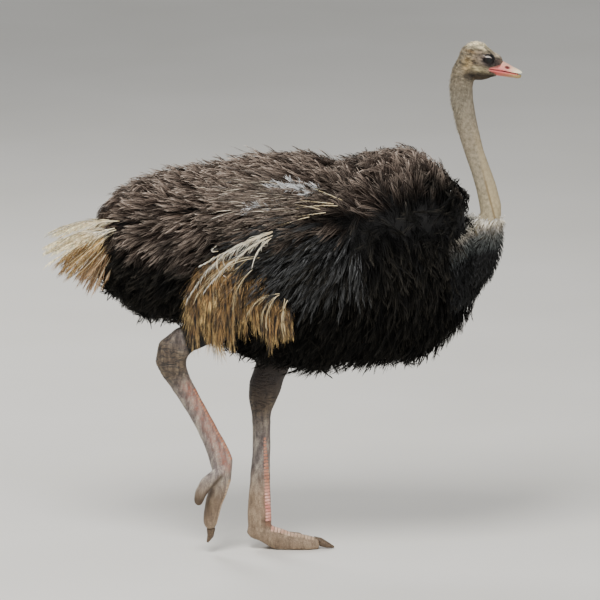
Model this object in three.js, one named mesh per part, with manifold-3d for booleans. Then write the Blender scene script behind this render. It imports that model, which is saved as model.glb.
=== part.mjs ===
// A male common ostrich, life size, in mid stride: it stands on its left foot and swings the
// right one forward. Millimetres, +X forward, +Y to the bird's left, +Z up. The origin is on the
// floor, under the sole of the standing foot.
// The plumage is part of the solids: trunk, wings and tail reach to the tips of the feathers.
import * as THREE from 'three';
import { mergeVertices } from 'three/addons/utils/BufferGeometryUtils.js';
import Module from 'manifold-3d';

const wasm = await Module();
wasm.setup();

// ---------------------------------------------------------------- driving dimensions

const GAP = 0.4; // clearance between two pieces that meet
// Where each leg is parted into thigh and shank, and how far the cut is turned from level.
const HOCK_CUT_LEFT = { place: [-110, 0, 572], turn: 0 };
const HOCK_CUT_RIGHT = { place: [-452, 0, 745], turn: THREE.MathUtils.degToRad(-14) };
const NECK_CUTS = [1262, 1565]; // heights at which the neck is parted: at the ruff and half way up
const RUFFLE = 0.014; // how much the locks of plumage swell the trunk, as a share of its radius
const WING_OUT = 30; // how far a folded wing stands out from the trunk

// The head lies in a frame of its own: X runs forward along the skull, Z up. It is tilted bill down.
const SKULL_CENTRE = new THREE.Vector3(690, 0, 1850);
const HEAD_TILT = THREE.MathUtils.degToRad(12);
const EYE_RADIUS = 24;
const EYE_PLACE = new THREE.Vector3(28, 27.5, 13); // of the left eye, in the head's frame
const EAR_PLACE = new THREE.Vector3(-44, 39, -8);
const EAR_SIZE = new THREE.Vector3(8, 9, 11);
const NOSTRIL_PLACE = new THREE.Vector3(104, 20, -4);
const NOSTRIL_SIZE = new THREE.Vector3(10, 7, 3.2);

// Trunk, from rump to breast: [x, height of the top, height of the bottom, half width].
const TRUNK = [
  [-720, 1205, 1085, 52],
  [-710, 1275, 1008, 104],
  [-682, 1316, 985, 146],
  [-640, 1350, 958, 178],
  [-590, 1392, 905, 206],
  [-520, 1418, 878, 232],
  [-440, 1436, 872, 250],
  [-335, 1454, 822, 266],
  [-229, 1471, 765, 274],
  [-130, 1486, 722, 278],
  [-30, 1496, 704, 280],
  [50, 1500, 676, 280],
  [110, 1506, 674, 280],
  [165, 1490, 700, 279],
  [208, 1452, 704, 278],
  [245, 1486, 688, 277],
  [300, 1494, 712, 274],
  [360, 1504, 716, 266],
  [418, 1512, 698, 254],
  [474, 1492, 718, 238],
  [536, 1464, 752, 214],
  [582, 1410, 792, 190],
  [620, 1366, 838, 166],
  [652, 1338, 905, 140],
  [672, 1286, 975, 104],
  [680, 1215, 1060, 50],
];

// Neck, from the breast to the head: [x, height, depth, width] of each section.
const NECK = [
  [520, 985, 230, 300],
  [592, 1030, 222, 286],
  [650, 1082, 206, 252],
  [690, 1144, 176, 200],
  [715, 1205, 140, 146],
  [733, 1256, 98, 96],
  [728, 1308, 88, 78],
  [713, 1372, 84, 72],
  [692, 1437, 80, 68],
  [672, 1498, 78, 66],
  [654, 1562, 79, 66],
  [638, 1627, 84, 70],
  [625, 1692, 89, 74],
  [621, 1748, 92, 76],
  [630, 1800, 94, 76],
  [652, 1846, 90, 70],
];

// Skull: [x, top, bottom, half width]. Bill: [x, culmen, gape, keel, half width].
const SKULL = [
  [-79, 14, -18, 14],
  [-73, 33, -38, 27],
  [-54, 53, -60, 37],
  [-27, 64, -76, 43],
  [2, 64, -83, 46],
  [26, 56, -78, 46],
  [46, 45, -68, 41],
  [62, 35, -56, 35],
  [76, 24, -43, 28],
  [84, 10, -32, 17],
];
const BILL = [
  [34, -12, -23, -34, 31],
  [56, 3, -20, -46, 33],
  [79, 12, -19, -47, 30],
  [99, 6, -21, -44, 25],
  [122, -2, -22, -41, 21],
  [143, -8, -22, -38, 16],
  [156, -13, -21, -35, 10],
  [162, -17, -20, -31, 3],
];

// Legs, from the knee inside the trunk to the foot: [x, y, height, depth, width] of each section.
const LEG_LEFT = [
  [70, 118, 1000, 230, 170],
  [-5, 96, 850, 176, 138],
  [-58, 74, 722, 130, 104],
  [-88, 62, 652, 126, 96],
  [-105, 54, 600, 128, 94],
  [-114, 48, 556, 112, 84],
  [-118, 43, 512, 82, 66],
  [-117, 37, 456, 70, 54],
  [-117, 27, 364, 70, 50],
  [-121, 17, 292, 75, 52],
  [-124, 5, 201, 85, 58],
  [-125, -2, 141, 92, 66],
  [-124, -6, 96, 92, 70],
  [-122, -7, 66, 76, 62],
];
const LEG_RIGHT = [
  [40, -132, 1020, 220, 166],
  [-100, -128, 950, 176, 140],
  [-230, -118, 888, 136, 112],
  [-332, -108, 845, 106, 94],
  [-402, -102, 812, 108, 90],
  [-444, -98, 775, 128, 92],
  [-452, -96, 730, 124, 88],
  [-436, -94, 686, 100, 76],
  [-408, -92, 636, 82, 62],
  [-377, -91, 582, 76, 54],
  [-340, -90, 516, 73, 50],
  [-304, -90, 445, 74, 52],
  [-277, -90, 387, 84, 58],
  [-264, -90, 345, 90, 66],
  [-262, -90, 312, 74, 60],
];

// Toes and claws: [x, y, height, depth, width]. The great toe is the inner one and has the claw.
const TOES = {
  great_toe_left: [
    [-170, -8, 74, 26, 30],
    [-150, -8, 70, 60, 58],
    [-108, -8, 60, 70, 72],
    [-56, -8, 37, 88, 75],
    [-8, -7, 24, 75, 75],
    [34, -6, 21, 70, 74],
    [72, -4, 17, 60, 68],
    [98, -3, 14, 42, 48],
  ],
  small_toe_left: [
    [-128, 26, 58, 30, 26],
    [-100, 36, 44, 56, 46],
    [-56, 60, 24, 62, 50],
    [-14, 84, 18, 58, 50],
    [22, 102, 15, 50, 44],
    [38, 109, 13, 28, 26],
  ],
  great_toe_right: [
    [-262, -88, 352, 30, 30],
    [-259, -88, 328, 72, 60],
    [-266, -87, 282, 76, 72],
    [-279, -86, 236, 72, 74],
    [-294, -85, 190, 66, 72],
    [-303, -84, 148, 60, 70],
    [-307, -84, 115, 54, 62],
    [-307, -84, 96, 34, 44],
  ],
  small_toe_right: [
    [-250, -112, 330, 26, 26],
    [-276, -120, 312, 50, 44],
    [-318, -128, 278, 52, 50],
    [-342, -132, 240, 48, 50],
    [-350, -134, 208, 38, 42],
    [-351, -134, 194, 20, 24],
  ],
};
const CLAWS = {
  claw_left: [
    [74, -4, 32, 30, 30],
    [100, -3, 25, 32, 34],
    [128, -2, 13, 22, 26],
    [152, -1, 5, 7, 8],
  ],
  claw_right: [
    [-305, -84, 120, 30, 30],
    [-304, -84, 92, 32, 34],
    [-306, -84, 66, 24, 26],
    [-317, -84, 42, 7, 8],
  ],
};

// Outlines in the side view of what lies on the trunk: [angle in degrees, reach from its centre].
const WING_CENTRE = new THREE.Vector2(60, 1172);
const WING_OUTLINE = [
  [-180, 470], [-150, 400], [-120, 290], [-90, 262], [-60, 288], [-30, 358], [0, 410], [30, 330], [60, 240],
  [90, 214], [120, 244], [150, 360], [180, 470],
];
const PLUMES_CENTRE = new THREE.Vector2(-150, 1000);
const PLUMES_OUTLINE = [
  [-180, 286], [-160, 294], [-140, 278], [-120, 210], [-100, 182], [-80, 184], [-55, 212], [-35, 205],
  [-10, 176], [20, 120], [60, 92], [100, 120], [130, 150], [155, 230], [180, 286],
];
const TAIL_CENTRE = new THREE.Vector2(-700, 1130);
const TAIL_OUTLINE = [
  [-180, 214], [-160, 206], [-140, 176], [-118, 152], [-95, 130], [-60, 104], [0, 100], [60, 100], [95, 104],
  [120, 118], [145, 150], [165, 214], [180, 214],
];
const TAIL_HALF_WIDTH = 112;

// ---------------------------------------------------------------- ways of making a solid

// The solid of a closed geometry, turned the right way out if its mapping mirrored it.
function solidOf(geometry) {
  const bare = geometry.clone();
  bare.deleteAttribute('normal');
  bare.deleteAttribute('uv');
  const merged = mergeVertices(bare, 1e-3);
  const vertProperties = merged.attributes.position.array;
  const triVerts = new Uint32Array(merged.index.array);
  const solid = new wasm.Manifold(new wasm.Mesh({ numProp: 3, vertProperties, triVerts }));
  if (solid.volume() > 0) return solid;
  return new wasm.Manifold(new wasm.Mesh({ numProp: 3, vertProperties, triVerts: triVerts.reverse() }));
}

// The geometry of a solid, ready for a mesh.
function geometryOf(solid) {
  const { vertProperties, triVerts } = solid.getMesh();
  const geometry = new THREE.BufferGeometry();
  geometry.setAttribute('position', new THREE.BufferAttribute(new Float32Array(vertProperties), 3));
  geometry.setIndex(new THREE.BufferAttribute(new Uint32Array(triVerts), 1));
  return geometry;
}

// A box between two corners.
function block(low, high) {
  const size = high.map((value, axis) => value - low[axis]);
  const middle = high.map((value, axis) => (value + low[axis]) / 2);
  return solidOf(new THREE.BoxGeometry(...size).translate(...middle));
}

// The same solid, larger by the gap all round, for cutting a seat in its neighbour.
function grown(solid) {
  const geometry = geometryOf(solid);
  geometry.computeVertexNormals();
  const { normal } = geometry.attributes;
  const out = new THREE.Vector3();
  const spread = (place, i) => place.addScaledVector(out.fromBufferAttribute(normal, i), GAP);
  return solidOf(mapped(geometry, spread));
}

const without = (solid, ...others) => others.reduce((left, other) => left.subtract(grown(other)), solid);

// Moves every vertex of a geometry to where a function sends it.
function mapped(geometry, where) {
  const { position } = geometry.attributes;
  for (let i = 0; i < position.count; i += 1) {
    const to = where(new THREE.Vector3().fromBufferAttribute(position, i), i);
    position.setXYZ(i, to.x, to.y, to.z);
  }
  return geometry;
}

// A smooth curve through rows of numbers: give it a key and it returns the other columns there.
function through(keys, rows) {
  const columns = rows[0].length;
  const curve = new THREE.CubicInterpolant(keys, rows.flat(), columns, new Float64Array(columns));
  return (key) => Array.from(curve.evaluate(key));
}

// A closed body whose sections follow its rows in order. place(row, c, s) gives the point of a
// section's rim whose cosine and sine are c and s; its middle has both at zero.
function sections(rows, sides, steps, place) {
  const row = through(rows.map((_, index) => index), rows);
  const rings = (rows.length - 1) * steps;
  return mapped(new THREE.CylinderGeometry(1, 1, 1, sides, rings), (p) =>
    place(row((0.5 - p.y) * (rows.length - 1)), p.x, p.z),
  );
}

// A body along X, from rows of [x, top, bottom, half width].
function body(rows, sides, steps, swell = () => 1) {
  return sections(rows, sides, steps, ([x, top, bottom, half], c, s) => {
    const size = swell(x, Math.atan2(c, s));
    return new THREE.Vector3(x, half * s * size, (top + bottom) / 2 + ((top - bottom) / 2) * c * size);
  });
}

// A piece along a path, from rows of [x, y, z, depth, width]. Its width lies across the bird.
function limb(rows, sides, steps) {
  const path = new THREE.CatmullRomCurve3(rows.map(([x, y, z]) => new THREE.Vector3(x, y, z)));
  const sized = rows.map(([, , , depth, width], index) => [index / (rows.length - 1), depth, width]);
  return sections(sized, sides, steps, ([share, depth, width], c, s) => {
    const at = THREE.MathUtils.clamp(share, 0, 1);
    const along = path.getTangent(at);
    const across = new THREE.Vector3(0, 1, 0).addScaledVector(along, -along.y).normalize();
    const forward = across.clone().cross(along).multiplyScalar((c * depth) / 2);
    return path.getPoint(at).add(forward).addScaledVector(across, (s * width) / 2);
  });
}

// A lens that lies in the side view, with an outline of [angle, reach] about a centre. The function
// place(x, z, out) gives its point there, where out runs from -1 on its inner face to 1 on its outer.
function lens(centre, outline, sides, rings, scallop, place) {
  const reach = through(outline.map(([angle]) => angle), outline.map(([, far]) => [far]));
  return mapped(new THREE.SphereGeometry(1, sides, rings).rotateX(Math.PI / 2), (p) => {
    const angle = Math.atan2(p.y, p.x);
    const spread = Math.hypot(p.x, p.y);
    const [far] = reach(THREE.MathUtils.radToDeg(angle));
    const radius = far * (1 + scallop(angle) * spread ** 2);
    return place(centre.x + radius * p.x, centre.y + radius * p.y, p.z);
  });
}

const mirrored = (solid) => solidOf(mapped(geometryOf(solid), (p) => p.setY(-p.y)));
const onTheOtherSide = (place) => place.clone().setY(-place.y);

// ---------------------------------------------------------------- trunk and neck

const LOCKS_ROUND = 9; // locks of plumage round the trunk, and the length of one along it
const LOCK_LENGTH = 150;
function trunkSwell(x, angle) {
  const along = (2 * Math.PI * x) / LOCK_LENGTH;
  return 1 + RUFFLE * Math.sin(LOCKS_ROUND * angle + along / 2) * Math.cos(along);
}
const trunkForm = solidOf(body(TRUNK, 28, 1, trunkSwell));

const neckForm = solidOf(limb(NECK.map(([x, z, depth, width]) => [x, 0, z, depth, width]), 18, 1));
const levels = [0, ...NECK_CUTS, 2500];
const [neckBase, neckLower, neckUpper] = levels.slice(1).map((top, index) =>
  neckForm.intersect(block([0, -500, levels[index] + GAP / 2], [1000, 500, top - GAP / 2])),
);

// ---------------------------------------------------------------- head

const headFrame = new THREE.Matrix4().makeRotationY(HEAD_TILT).setPosition(SKULL_CENTRE);

function ellipsoid(place, size, sides, rings) {
  const ball = new THREE.SphereGeometry(1, sides, rings).rotateX(Math.PI / 2).scale(size.x, size.y, size.z);
  return solidOf(ball.translate(place.x, place.y, place.z).applyMatrix4(headFrame));
}

const eyeSize = new THREE.Vector3(EYE_RADIUS, EYE_RADIUS, EYE_RADIUS);
const eyes = {
  left: ellipsoid(EYE_PLACE, eyeSize, 12, 8),
  right: ellipsoid(onTheOtherSide(EYE_PLACE), eyeSize, 12, 8),
};
const onBothSides = (place, size) => [place, onTheOtherSide(place)].map((one) => ellipsoid(one, size, 7, 4));
const ears = onBothSides(EAR_PLACE, EAR_SIZE);
const nostrils = onBothSides(NOSTRIL_PLACE, NOSTRIL_SIZE);

// One half of the bill: flat along the gape, rounded towards the culmen or the keel.
function halfBill(isUpper) {
  const side = isUpper ? 1 : -1;
  const rows = BILL.map(([x, culmen, gape, keel, half]) => {
    const flat = gape + (side * GAP) / 2;
    return [x, flat, isUpper ? culmen : keel, half];
  });
  const shape = sections(rows, 16, 1, ([x, gape, edge, half], c, s) => {
    const rise = Math.max(0, side * c);
    return new THREE.Vector3(x, half * s, gape + (edge - gape) * rise);
  });
  return solidOf(shape.applyMatrix4(headFrame));
}

const skull = solidOf(body(SKULL, 18, 1).applyMatrix4(headFrame));
const upperBill = halfBill(true);
const lowerBill = halfBill(false);

// ---------------------------------------------------------------- wings and tail

// How far out the trunk's side is at a point of the side view.
const trunkAt = through(TRUNK.map(([x]) => x), TRUNK.map(([, ...sizes]) => sizes));
function trunkSide(x, z) {
  const [top, bottom, half] = trunkAt(x);
  const up = (2 * z - top - bottom) / (top - bottom);
  return half * Math.sqrt(Math.max(0.1, 1 - up * up));
}

const PLUME_SCALLOP = 0.05; // how far the plumes' tips stand out beyond the notches between them
const PLUMES_ROUND = 18;
const plumeTips = (angle) => PLUME_SCALLOP * Math.cos(PLUMES_ROUND * angle);

const wingForm = solidOf(
  lens(WING_CENTRE, WING_OUTLINE, 20, 8, () => 0, (x, z, out) =>
    new THREE.Vector3(x, trunkSide(x, z) + WING_OUT * out, z),
  ),
);
const PLUMES_OUT = 24; // the long plumes hang a little further out than the trunk
const PLUMES_HALF_THICKNESS = 26;
const plumesForm = solidOf(
  lens(PLUMES_CENTRE, PLUMES_OUTLINE, 36, 6, plumeTips, (x, z, out) =>
    new THREE.Vector3(x, Math.max(trunkSide(x, z), 236) + PLUMES_OUT + PLUMES_HALF_THICKNESS * out, z),
  ),
);
const tailForm = solidOf(
  lens(TAIL_CENTRE, TAIL_OUTLINE, 36, 8, plumeTips, (x, z, out) =>
    new THREE.Vector3(x, TAIL_HALF_WIDTH * out, z),
  ),
);

// ---------------------------------------------------------------- legs

const legLeft = solidOf(limb(LEG_LEFT, 14, 1));
const legRight = solidOf(limb(LEG_RIGHT, 14, 1));
const toeForm = (name) => solidOf(limb(TOES[name], 11, 1));
const clawForm = (name) => solidOf(limb(CLAWS[name], 9, 1));

// All that lies above (1) or below (-1) the cut that parts a leg at its hock.
const REACH = 1600;
const besideHock = ({ place, turn }, up) =>
  solidOf(
    new THREE.BoxGeometry(REACH, REACH, REACH)
      .translate(0, 0, (up * (REACH + GAP)) / 2)
      .rotateY(turn)
      .translate(...place),
  );
const thighs = {
  left: legLeft.intersect(besideHock(HOCK_CUT_LEFT, 1)),
  right: legRight.intersect(besideHock(HOCK_CUT_RIGHT, 1)),
};
const shanks = {
  left: legLeft.intersect(besideHock(HOCK_CUT_LEFT, -1)),
  right: legRight.intersect(besideHock(HOCK_CUT_RIGHT, -1)),
};

const ABOVE_FLOOR = block([-REACH, -REACH, 0], [REACH, REACH, REACH]);

// ---------------------------------------------------------------- the pieces, fitted to each other

const pieces = {
  trunk: without(trunkForm, thighs.left, thighs.right),
  tail: without(tailForm, trunkForm),
  neck_base: without(neckBase, trunkForm),
  neck_lower: neckLower,
  neck_upper: without(neckUpper, skull),
  head: without(skull, eyes.left, eyes.right, upperBill, lowerBill).subtract(ears[0]).subtract(ears[1]),
  upper_bill: upperBill.subtract(nostrils[0]).subtract(nostrils[1]),
  lower_bill: lowerBill,
  eye_left: eyes.left,
  eye_right: eyes.right,
};
for (const side of ['left', 'right']) {
  const onThisSide = side === 'left' ? (solid) => solid : mirrored;
  const greatToe = toeForm(`great_toe_${side}`);
  const shank = shanks[side];
  const wing = onThisSide(wingForm);
  pieces[`wing_${side}`] = without(wing, trunkForm, thighs[side]);
  pieces[`wing_plumes_${side}`] = without(onThisSide(plumesForm), trunkForm, wing, thighs[side]);
  pieces[`thigh_${side}`] = thighs[side];
  pieces[`shank_${side}`] = shank;
  pieces[`great_toe_${side}`] = without(greatToe, shank).intersect(ABOVE_FLOOR);
  pieces[`small_toe_${side}`] = without(toeForm(`small_toe_${side}`), shank, greatToe).intersect(ABOVE_FLOOR);
  pieces[`claw_${side}`] = without(clawForm(`claw_${side}`), greatToe).intersect(ABOVE_FLOOR);
}

// ---------------------------------------------------------------- materials and scene graph

const look = (color, roughness) => new THREE.MeshStandardMaterial({ color, roughness, metalness: 0 });
const MATERIALS = {
  trunk: look(0x2b2726, 0.9),
  tail: look(0xb89a74, 0.85),
  neck: look(0x8b8377, 0.85),
  head: look(0x8f8574, 0.85),
  bill: look(0xd98b7e, 0.45),
  eye: look(0x1a0f0a, 0.08),
  wing: look(0x1d1c1f, 0.85),
  wing_plumes: look(0xa17f54, 0.85),
  thigh: look(0x6f625b, 0.7),
  shank: look(0x8d7f7b, 0.65),
  toe: look(0x94857c, 0.7),
  claw: look(0x4b4037, 0.45),
};
const materialFor = (name) =>
  MATERIALS[name.replace(/_(left|right|upper|lower|base)$/, '').replace(/^(upper|lower|great|small)_/, '')];

const ostrich = new THREE.Group();
for (const [name, solid] of Object.entries(pieces)) {
  const mesh = new THREE.Mesh(geometryOf(solid), materialFor(name));
  mesh.name = name;
  ostrich.add(mesh);
}

export default ostrich;
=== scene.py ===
# %% [markdown]
# # An ostrich in feathers
# This lesson dresses a life-size ostrich. The construction model gives solids that reach to the tips
# of the feathers. Here they are only measured: one skin is made inside them, and the coat grows from
# it as real mesh, lock by lock, until its tips meet the solids' surface again.

# %% Load the frame
import math
import bmesh
import bpy
import numpy as np
from mathutils import Matrix, Vector
from mathutils.bvhtree import BVHTree


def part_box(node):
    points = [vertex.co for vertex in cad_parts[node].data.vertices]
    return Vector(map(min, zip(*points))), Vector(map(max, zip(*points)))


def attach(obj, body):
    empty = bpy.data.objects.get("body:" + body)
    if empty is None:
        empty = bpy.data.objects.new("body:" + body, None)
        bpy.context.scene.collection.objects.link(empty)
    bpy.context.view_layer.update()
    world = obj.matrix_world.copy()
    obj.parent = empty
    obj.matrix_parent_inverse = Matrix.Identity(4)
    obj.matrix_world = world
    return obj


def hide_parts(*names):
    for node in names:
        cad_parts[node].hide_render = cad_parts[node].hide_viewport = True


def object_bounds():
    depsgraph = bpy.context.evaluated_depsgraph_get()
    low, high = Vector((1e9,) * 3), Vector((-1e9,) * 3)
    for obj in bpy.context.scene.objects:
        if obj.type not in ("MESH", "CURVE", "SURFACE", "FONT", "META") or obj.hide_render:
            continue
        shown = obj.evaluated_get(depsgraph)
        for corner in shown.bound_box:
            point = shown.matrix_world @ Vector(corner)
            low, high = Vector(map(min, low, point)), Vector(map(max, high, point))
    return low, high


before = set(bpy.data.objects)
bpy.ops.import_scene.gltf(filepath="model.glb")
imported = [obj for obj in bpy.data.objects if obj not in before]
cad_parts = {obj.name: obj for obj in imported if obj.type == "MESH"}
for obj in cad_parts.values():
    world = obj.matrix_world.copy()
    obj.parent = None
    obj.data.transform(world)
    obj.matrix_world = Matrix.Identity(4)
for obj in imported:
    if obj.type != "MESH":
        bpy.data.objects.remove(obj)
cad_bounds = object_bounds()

UP = Vector((0, 0, 1))
rng = np.random.default_rng(7)
print("nodes:", len(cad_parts))

# %% [markdown]
# ## The camera
# A bird in a park is taken from a long way off with a long lens, so that near and far leg are drawn
# at nearly the same size. We stand 60 m away and look down by 12 degrees. The focal length follows
# from how much of the scene the frame should take in at that distance.

# %% Camera
VIEW_DISTANCE = 60.0
VIEW_TILT = math.radians(12)
VIEW_WIDTH = 2.22
SENSOR = 36.0
VIEW_AIM = Vector((0.026, 0, 0.942))

camera = bpy.data.objects.new("camera", bpy.data.cameras.new("camera"))
bpy.context.scene.collection.objects.link(camera)
camera.location = VIEW_AIM + VIEW_DISTANCE * Vector((0, -math.cos(VIEW_TILT), math.sin(VIEW_TILT)))
camera.rotation_euler = (math.pi / 2 - VIEW_TILT, 0, 0)
camera.data.sensor_width = SENSOR
camera.data.lens = SENSOR * VIEW_DISTANCE / VIEW_WIDTH
camera.data.clip_end = 300
bpy.context.scene.camera = camera
print("focal length", round(camera.data.lens), "mm")

# %% [markdown]
# ## Small helpers for materials
# Colours are chosen as the hex values that a screen shows. Light is computed in linear values, so one
# function converts them. A second one adds a node with its settings and its links in one line. The
# others put a few nodes together that are needed again and again.

# %% Colour and nodes
def linear(hex_colour):
    """A linear RGBA colour from an sRGB hex string."""
    parts = [int(hex_colour[i:i + 2], 16) / 255 for i in (1, 3, 5)]
    return [p / 12.92 if p <= 0.04045 else ((p + 0.055) / 1.055) ** 2.4 for p in parts] + [1.0]


def add(tree, kind, inputs=None, stops=(), output=None, **settings):
    """Adds a shader node with its settings, and returns one of its outputs.

    An input is a value, a hex colour or the output that feeds it, by name or by number. A Mix node
    mixes colours unless it is told otherwise.
    """
    node = tree.nodes.new("ShaderNode" + kind)
    if kind == "Mix":
        settings.setdefault("data_type", "RGBA")
    for key, value in settings.items():
        setattr(node, key, value)
    for _ in stops[2:]:
        node.color_ramp.elements.new(1.0)
    for number, (place, colour) in enumerate(stops):
        node.color_ramp.elements[number].position = place
        node.color_ramp.elements[number].color = linear(colour)
    live = [socket for socket in node.inputs if socket.enabled]
    for key, value in (inputs or {}).items():
        socket = live[key] if isinstance(key, int) else next(s for s in live if s.name == key)
        if isinstance(value, bpy.types.NodeSocket):
            tree.links.new(value, socket)
        else:
            socket.default_value = linear(value) if isinstance(value, str) else value
    return next(s for s in node.outputs if s.enabled and output in (None, s.name))


def new_material(name, **shader):
    """A material, its node tree and its shader, whose constants are given by name."""
    material = bpy.data.materials.new(name)
    material.use_nodes = True
    surface = material.node_tree.nodes["Principled BSDF"]
    for key, value in shader.items():
        value = linear(value) if isinstance(value, str) else value
        surface.inputs[key.replace("_", " ")].default_value = value
    return material, material.node_tree, surface


def wire(surface, **feeds):
    """Links outputs of other nodes to sockets of the shader, which are given by name."""
    for key, feed in feeds.items():
        surface.id_data.links.new(feed, surface.inputs[key.replace("_", " ")])


def whereabouts(tree):
    """Object coordinates, and how far forward, to the left and up each of them is."""
    place = add(tree, "TexCoord", output="Object")
    return place, *add(tree, "SeparateXYZ", {"Vector": place}).node.outputs


def mm(size):
    """The scale of a pattern whose lumps are to be about size millimetres across."""
    return 1000 / size


def drifting(tree, place, lump, amount):
    """A slow noise from -amount to amount, in lumps that are about lump millimetres across."""
    drift = add(tree, "TexNoise", {"Vector": place, "Scale": mm(lump), "Detail": 3.0})
    return add(tree, "MapRange", {"Value": drift, "From Min": 0.3, "From Max": 0.7, "To Min": -amount,
                                  "To Max": amount})


def mottled(name, lump, stops, **shader):
    """A material whose colour drifts in lumps that are about lump millimetres across."""
    material, tree, surface = new_material(name, **shader)
    place = add(tree, "TexCoord", output="Object")
    patch = add(tree, "TexNoise", {"Vector": place, "Scale": mm(lump), "Detail": 2.0})
    wire(surface, Base_Color=add(tree, "ValToRGB", {"Fac": patch}, stops=stops))
    return material


# %% [markdown]
# ## The stage
# The bird stands on a plain pale floor under the soft light of a studio: one large lamp high in front,
# one to fill, one from behind for the edges of the feathers, and a pale world all round.

# %% Floor and light
def link(name, data):
    made = bpy.data.objects.new(name, data)
    bpy.context.scene.collection.objects.link(made)
    return made


def to_object(name, *shapes):
    """One object from several bmeshes, which are freed."""
    mesh = bpy.data.meshes.new(name)
    whole = bmesh.new()
    for shape in shapes:
        part = bpy.data.meshes.new("part")
        shape.to_mesh(part)
        shape.free()
        whole.from_mesh(part)
        bpy.data.meshes.remove(part)
    whole.to_mesh(mesh)
    whole.free()
    return link(name, mesh)


FLOOR_REACH = 90.0
sheet = bmesh.new()
bmesh.ops.create_circle(sheet, cap_ends=True, segments=64, radius=FLOOR_REACH)
floor = to_object("studio_floor", sheet)
floor.data.materials.append(
    mottled("matt painted floor", 900, [(0.3, "#D8D4CB"), (0.7, "#DEDAD2")], Roughness=0.85))
LAMPS = {  # place, size, power
    "key_light": ((-1.2, -4.0, 6.6), 3.2, 620),
    "fill_light": ((4.5, -5.0, 2.5), 4.0, 150),
    "rim_light": ((-2.5, 5.0, 5.0), 3.0, 260)}
for name, (place, size, power) in LAMPS.items():
    lamp = bpy.data.lights.new(name, "AREA")
    lamp.shape = "DISK"
    lamp.size = size
    lamp.energy = power
    stand = link(name, lamp)
    stand.location = place
    stand.rotation_euler = (UP - Vector(place)).to_track_quat("-Z", "Y").to_euler()
world = bpy.data.worlds.new("studio")
bpy.context.scene.world = world
world.use_nodes = True
world.node_tree.nodes["Background"].inputs["Color"].default_value = linear("#DDE0E4")
world.node_tree.nodes["Background"].inputs["Strength"].default_value = 0.62
print("stage set")

# %% [markdown]
# ## Measuring the solids
# A tailor measures before cutting. Rays shot at the trunk's solid give the height of its back, the
# height of its belly and its half width at many stations, and from them any point of its surface is
# known by two numbers: how far along the body it is, and how far round.

# %% Measure the trunk
def tree_of(*names):
    """A search tree of the faces of CAD nodes, for shooting rays at them."""
    corners, faces = [], []
    for name in names:
        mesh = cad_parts[name].data
        faces += [[len(corners) + i for i in face.vertices] for face in mesh.polygons]
        corners += [vertex.co.copy() for vertex in mesh.vertices]
    return BVHTree.FromPolygons(corners, faces)


def hit(tree, start, towards):
    """Where a ray meets a solid, or None."""
    return tree.ray_cast(Vector(start), Vector(towards))[0]


FAR = 3.0
STATIONS = 70
trunk_low, trunk_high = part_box("trunk")
trunk_solid = tree_of("trunk")
station_x = np.linspace(trunk_low.x + 0.004, trunk_high.x - 0.004, STATIONS)
station_rows = []
for x in station_x:
    top = hit(trunk_solid, (x, 0, FAR), (0, 0, -1)).z
    bottom = hit(trunk_solid, (x, 0, -FAR), (0, 0, 1)).z
    side = hit(trunk_solid, (x, FAR, (top + bottom) / 2), (0, -1, 0)).y
    station_rows.append((top, bottom, side))
station_rows = np.array(station_rows)


def trunk_point(x, turn):
    """A point of the trunk's surface. turn is 0 on the back, a quarter turn on the left side."""
    top, bottom, half = (np.interp(x, station_x, station_rows[:, i]) for i in range(3))
    middle, tall = (top + bottom) / 2, (top - bottom) / 2
    return np.stack([x, half * np.sin(turn), middle + tall * np.cos(turn)], -1)


def unit(v):
    return v / np.maximum(np.linalg.norm(v, axis=-1, keepdims=True), 1e-9)


STEP = 0.012


def trunk_frame(x, turn):
    """The surface's point, outward normal and rearward direction there."""
    x = np.clip(x, station_x[0], station_x[-1])
    front, rear = np.minimum(x + STEP, station_x[-1]), np.maximum(x - STEP, station_x[0])
    rearward = unit(trunk_point(rear, turn) - trunk_point(front, turn))
    round_it = unit(trunk_point(x, turn + 0.03) - trunk_point(x, turn - 0.03))
    return trunk_point(x, turn), unit(np.cross(round_it, rearward)), rearward


print("trunk", [round(v, 3) for v in (trunk_high - trunk_low)])

# %% [markdown]
# ## The core of the body
# The coat needs something to grow on and to hide what is behind it. The trunk under the feathers is
# lofted: rings of corners are laid a coat's depth inside the solids and bridged one to the next. Where
# a wing lies on the flank, the rings swell to follow it, because its feathers are rooted further out.

# %% Rings inside the coat
PLUME_DEPTH = 0.052
BELLY_DEPTH = 0.018
RINGS, RING_CORNERS = 64, 72
body_solid = tree_of("trunk", "wing_left", "wing_right")


def coat_depth(x, turn):
    """How deep the coat is over the trunk: thinner where neck and tail leave it."""
    belly = np.clip((np.abs(turn) - 1.9) / 0.9, 0, 1)
    ends = np.clip(np.minimum(x - station_x[0], station_x[-1] - x) / 0.10, 0.0, 1)
    return (PLUME_DEPTH + BELLY_DEPTH * belly) * (0.35 + 0.65 * ends)


def core_ring(x):
    turn = np.linspace(-np.pi, np.pi, RING_CORNERS + 1)[:-1]
    place, out, _ = trunk_frame(np.full(RING_CORNERS, x), turn)
    swell = []
    for spot, away in zip(place, out):
        met = hit(body_solid, spot + away * 0.15, -away)
        swell.append(max(0, (met - Vector(spot)).dot(Vector(away))) if met else 0)
    swell = np.convolve(np.concatenate([swell[-2:], swell, swell[:2]]), np.ones(5) / 5, "valid")
    return place + out * (0.8 * swell - coat_depth(x, turn))[:, None]


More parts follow.
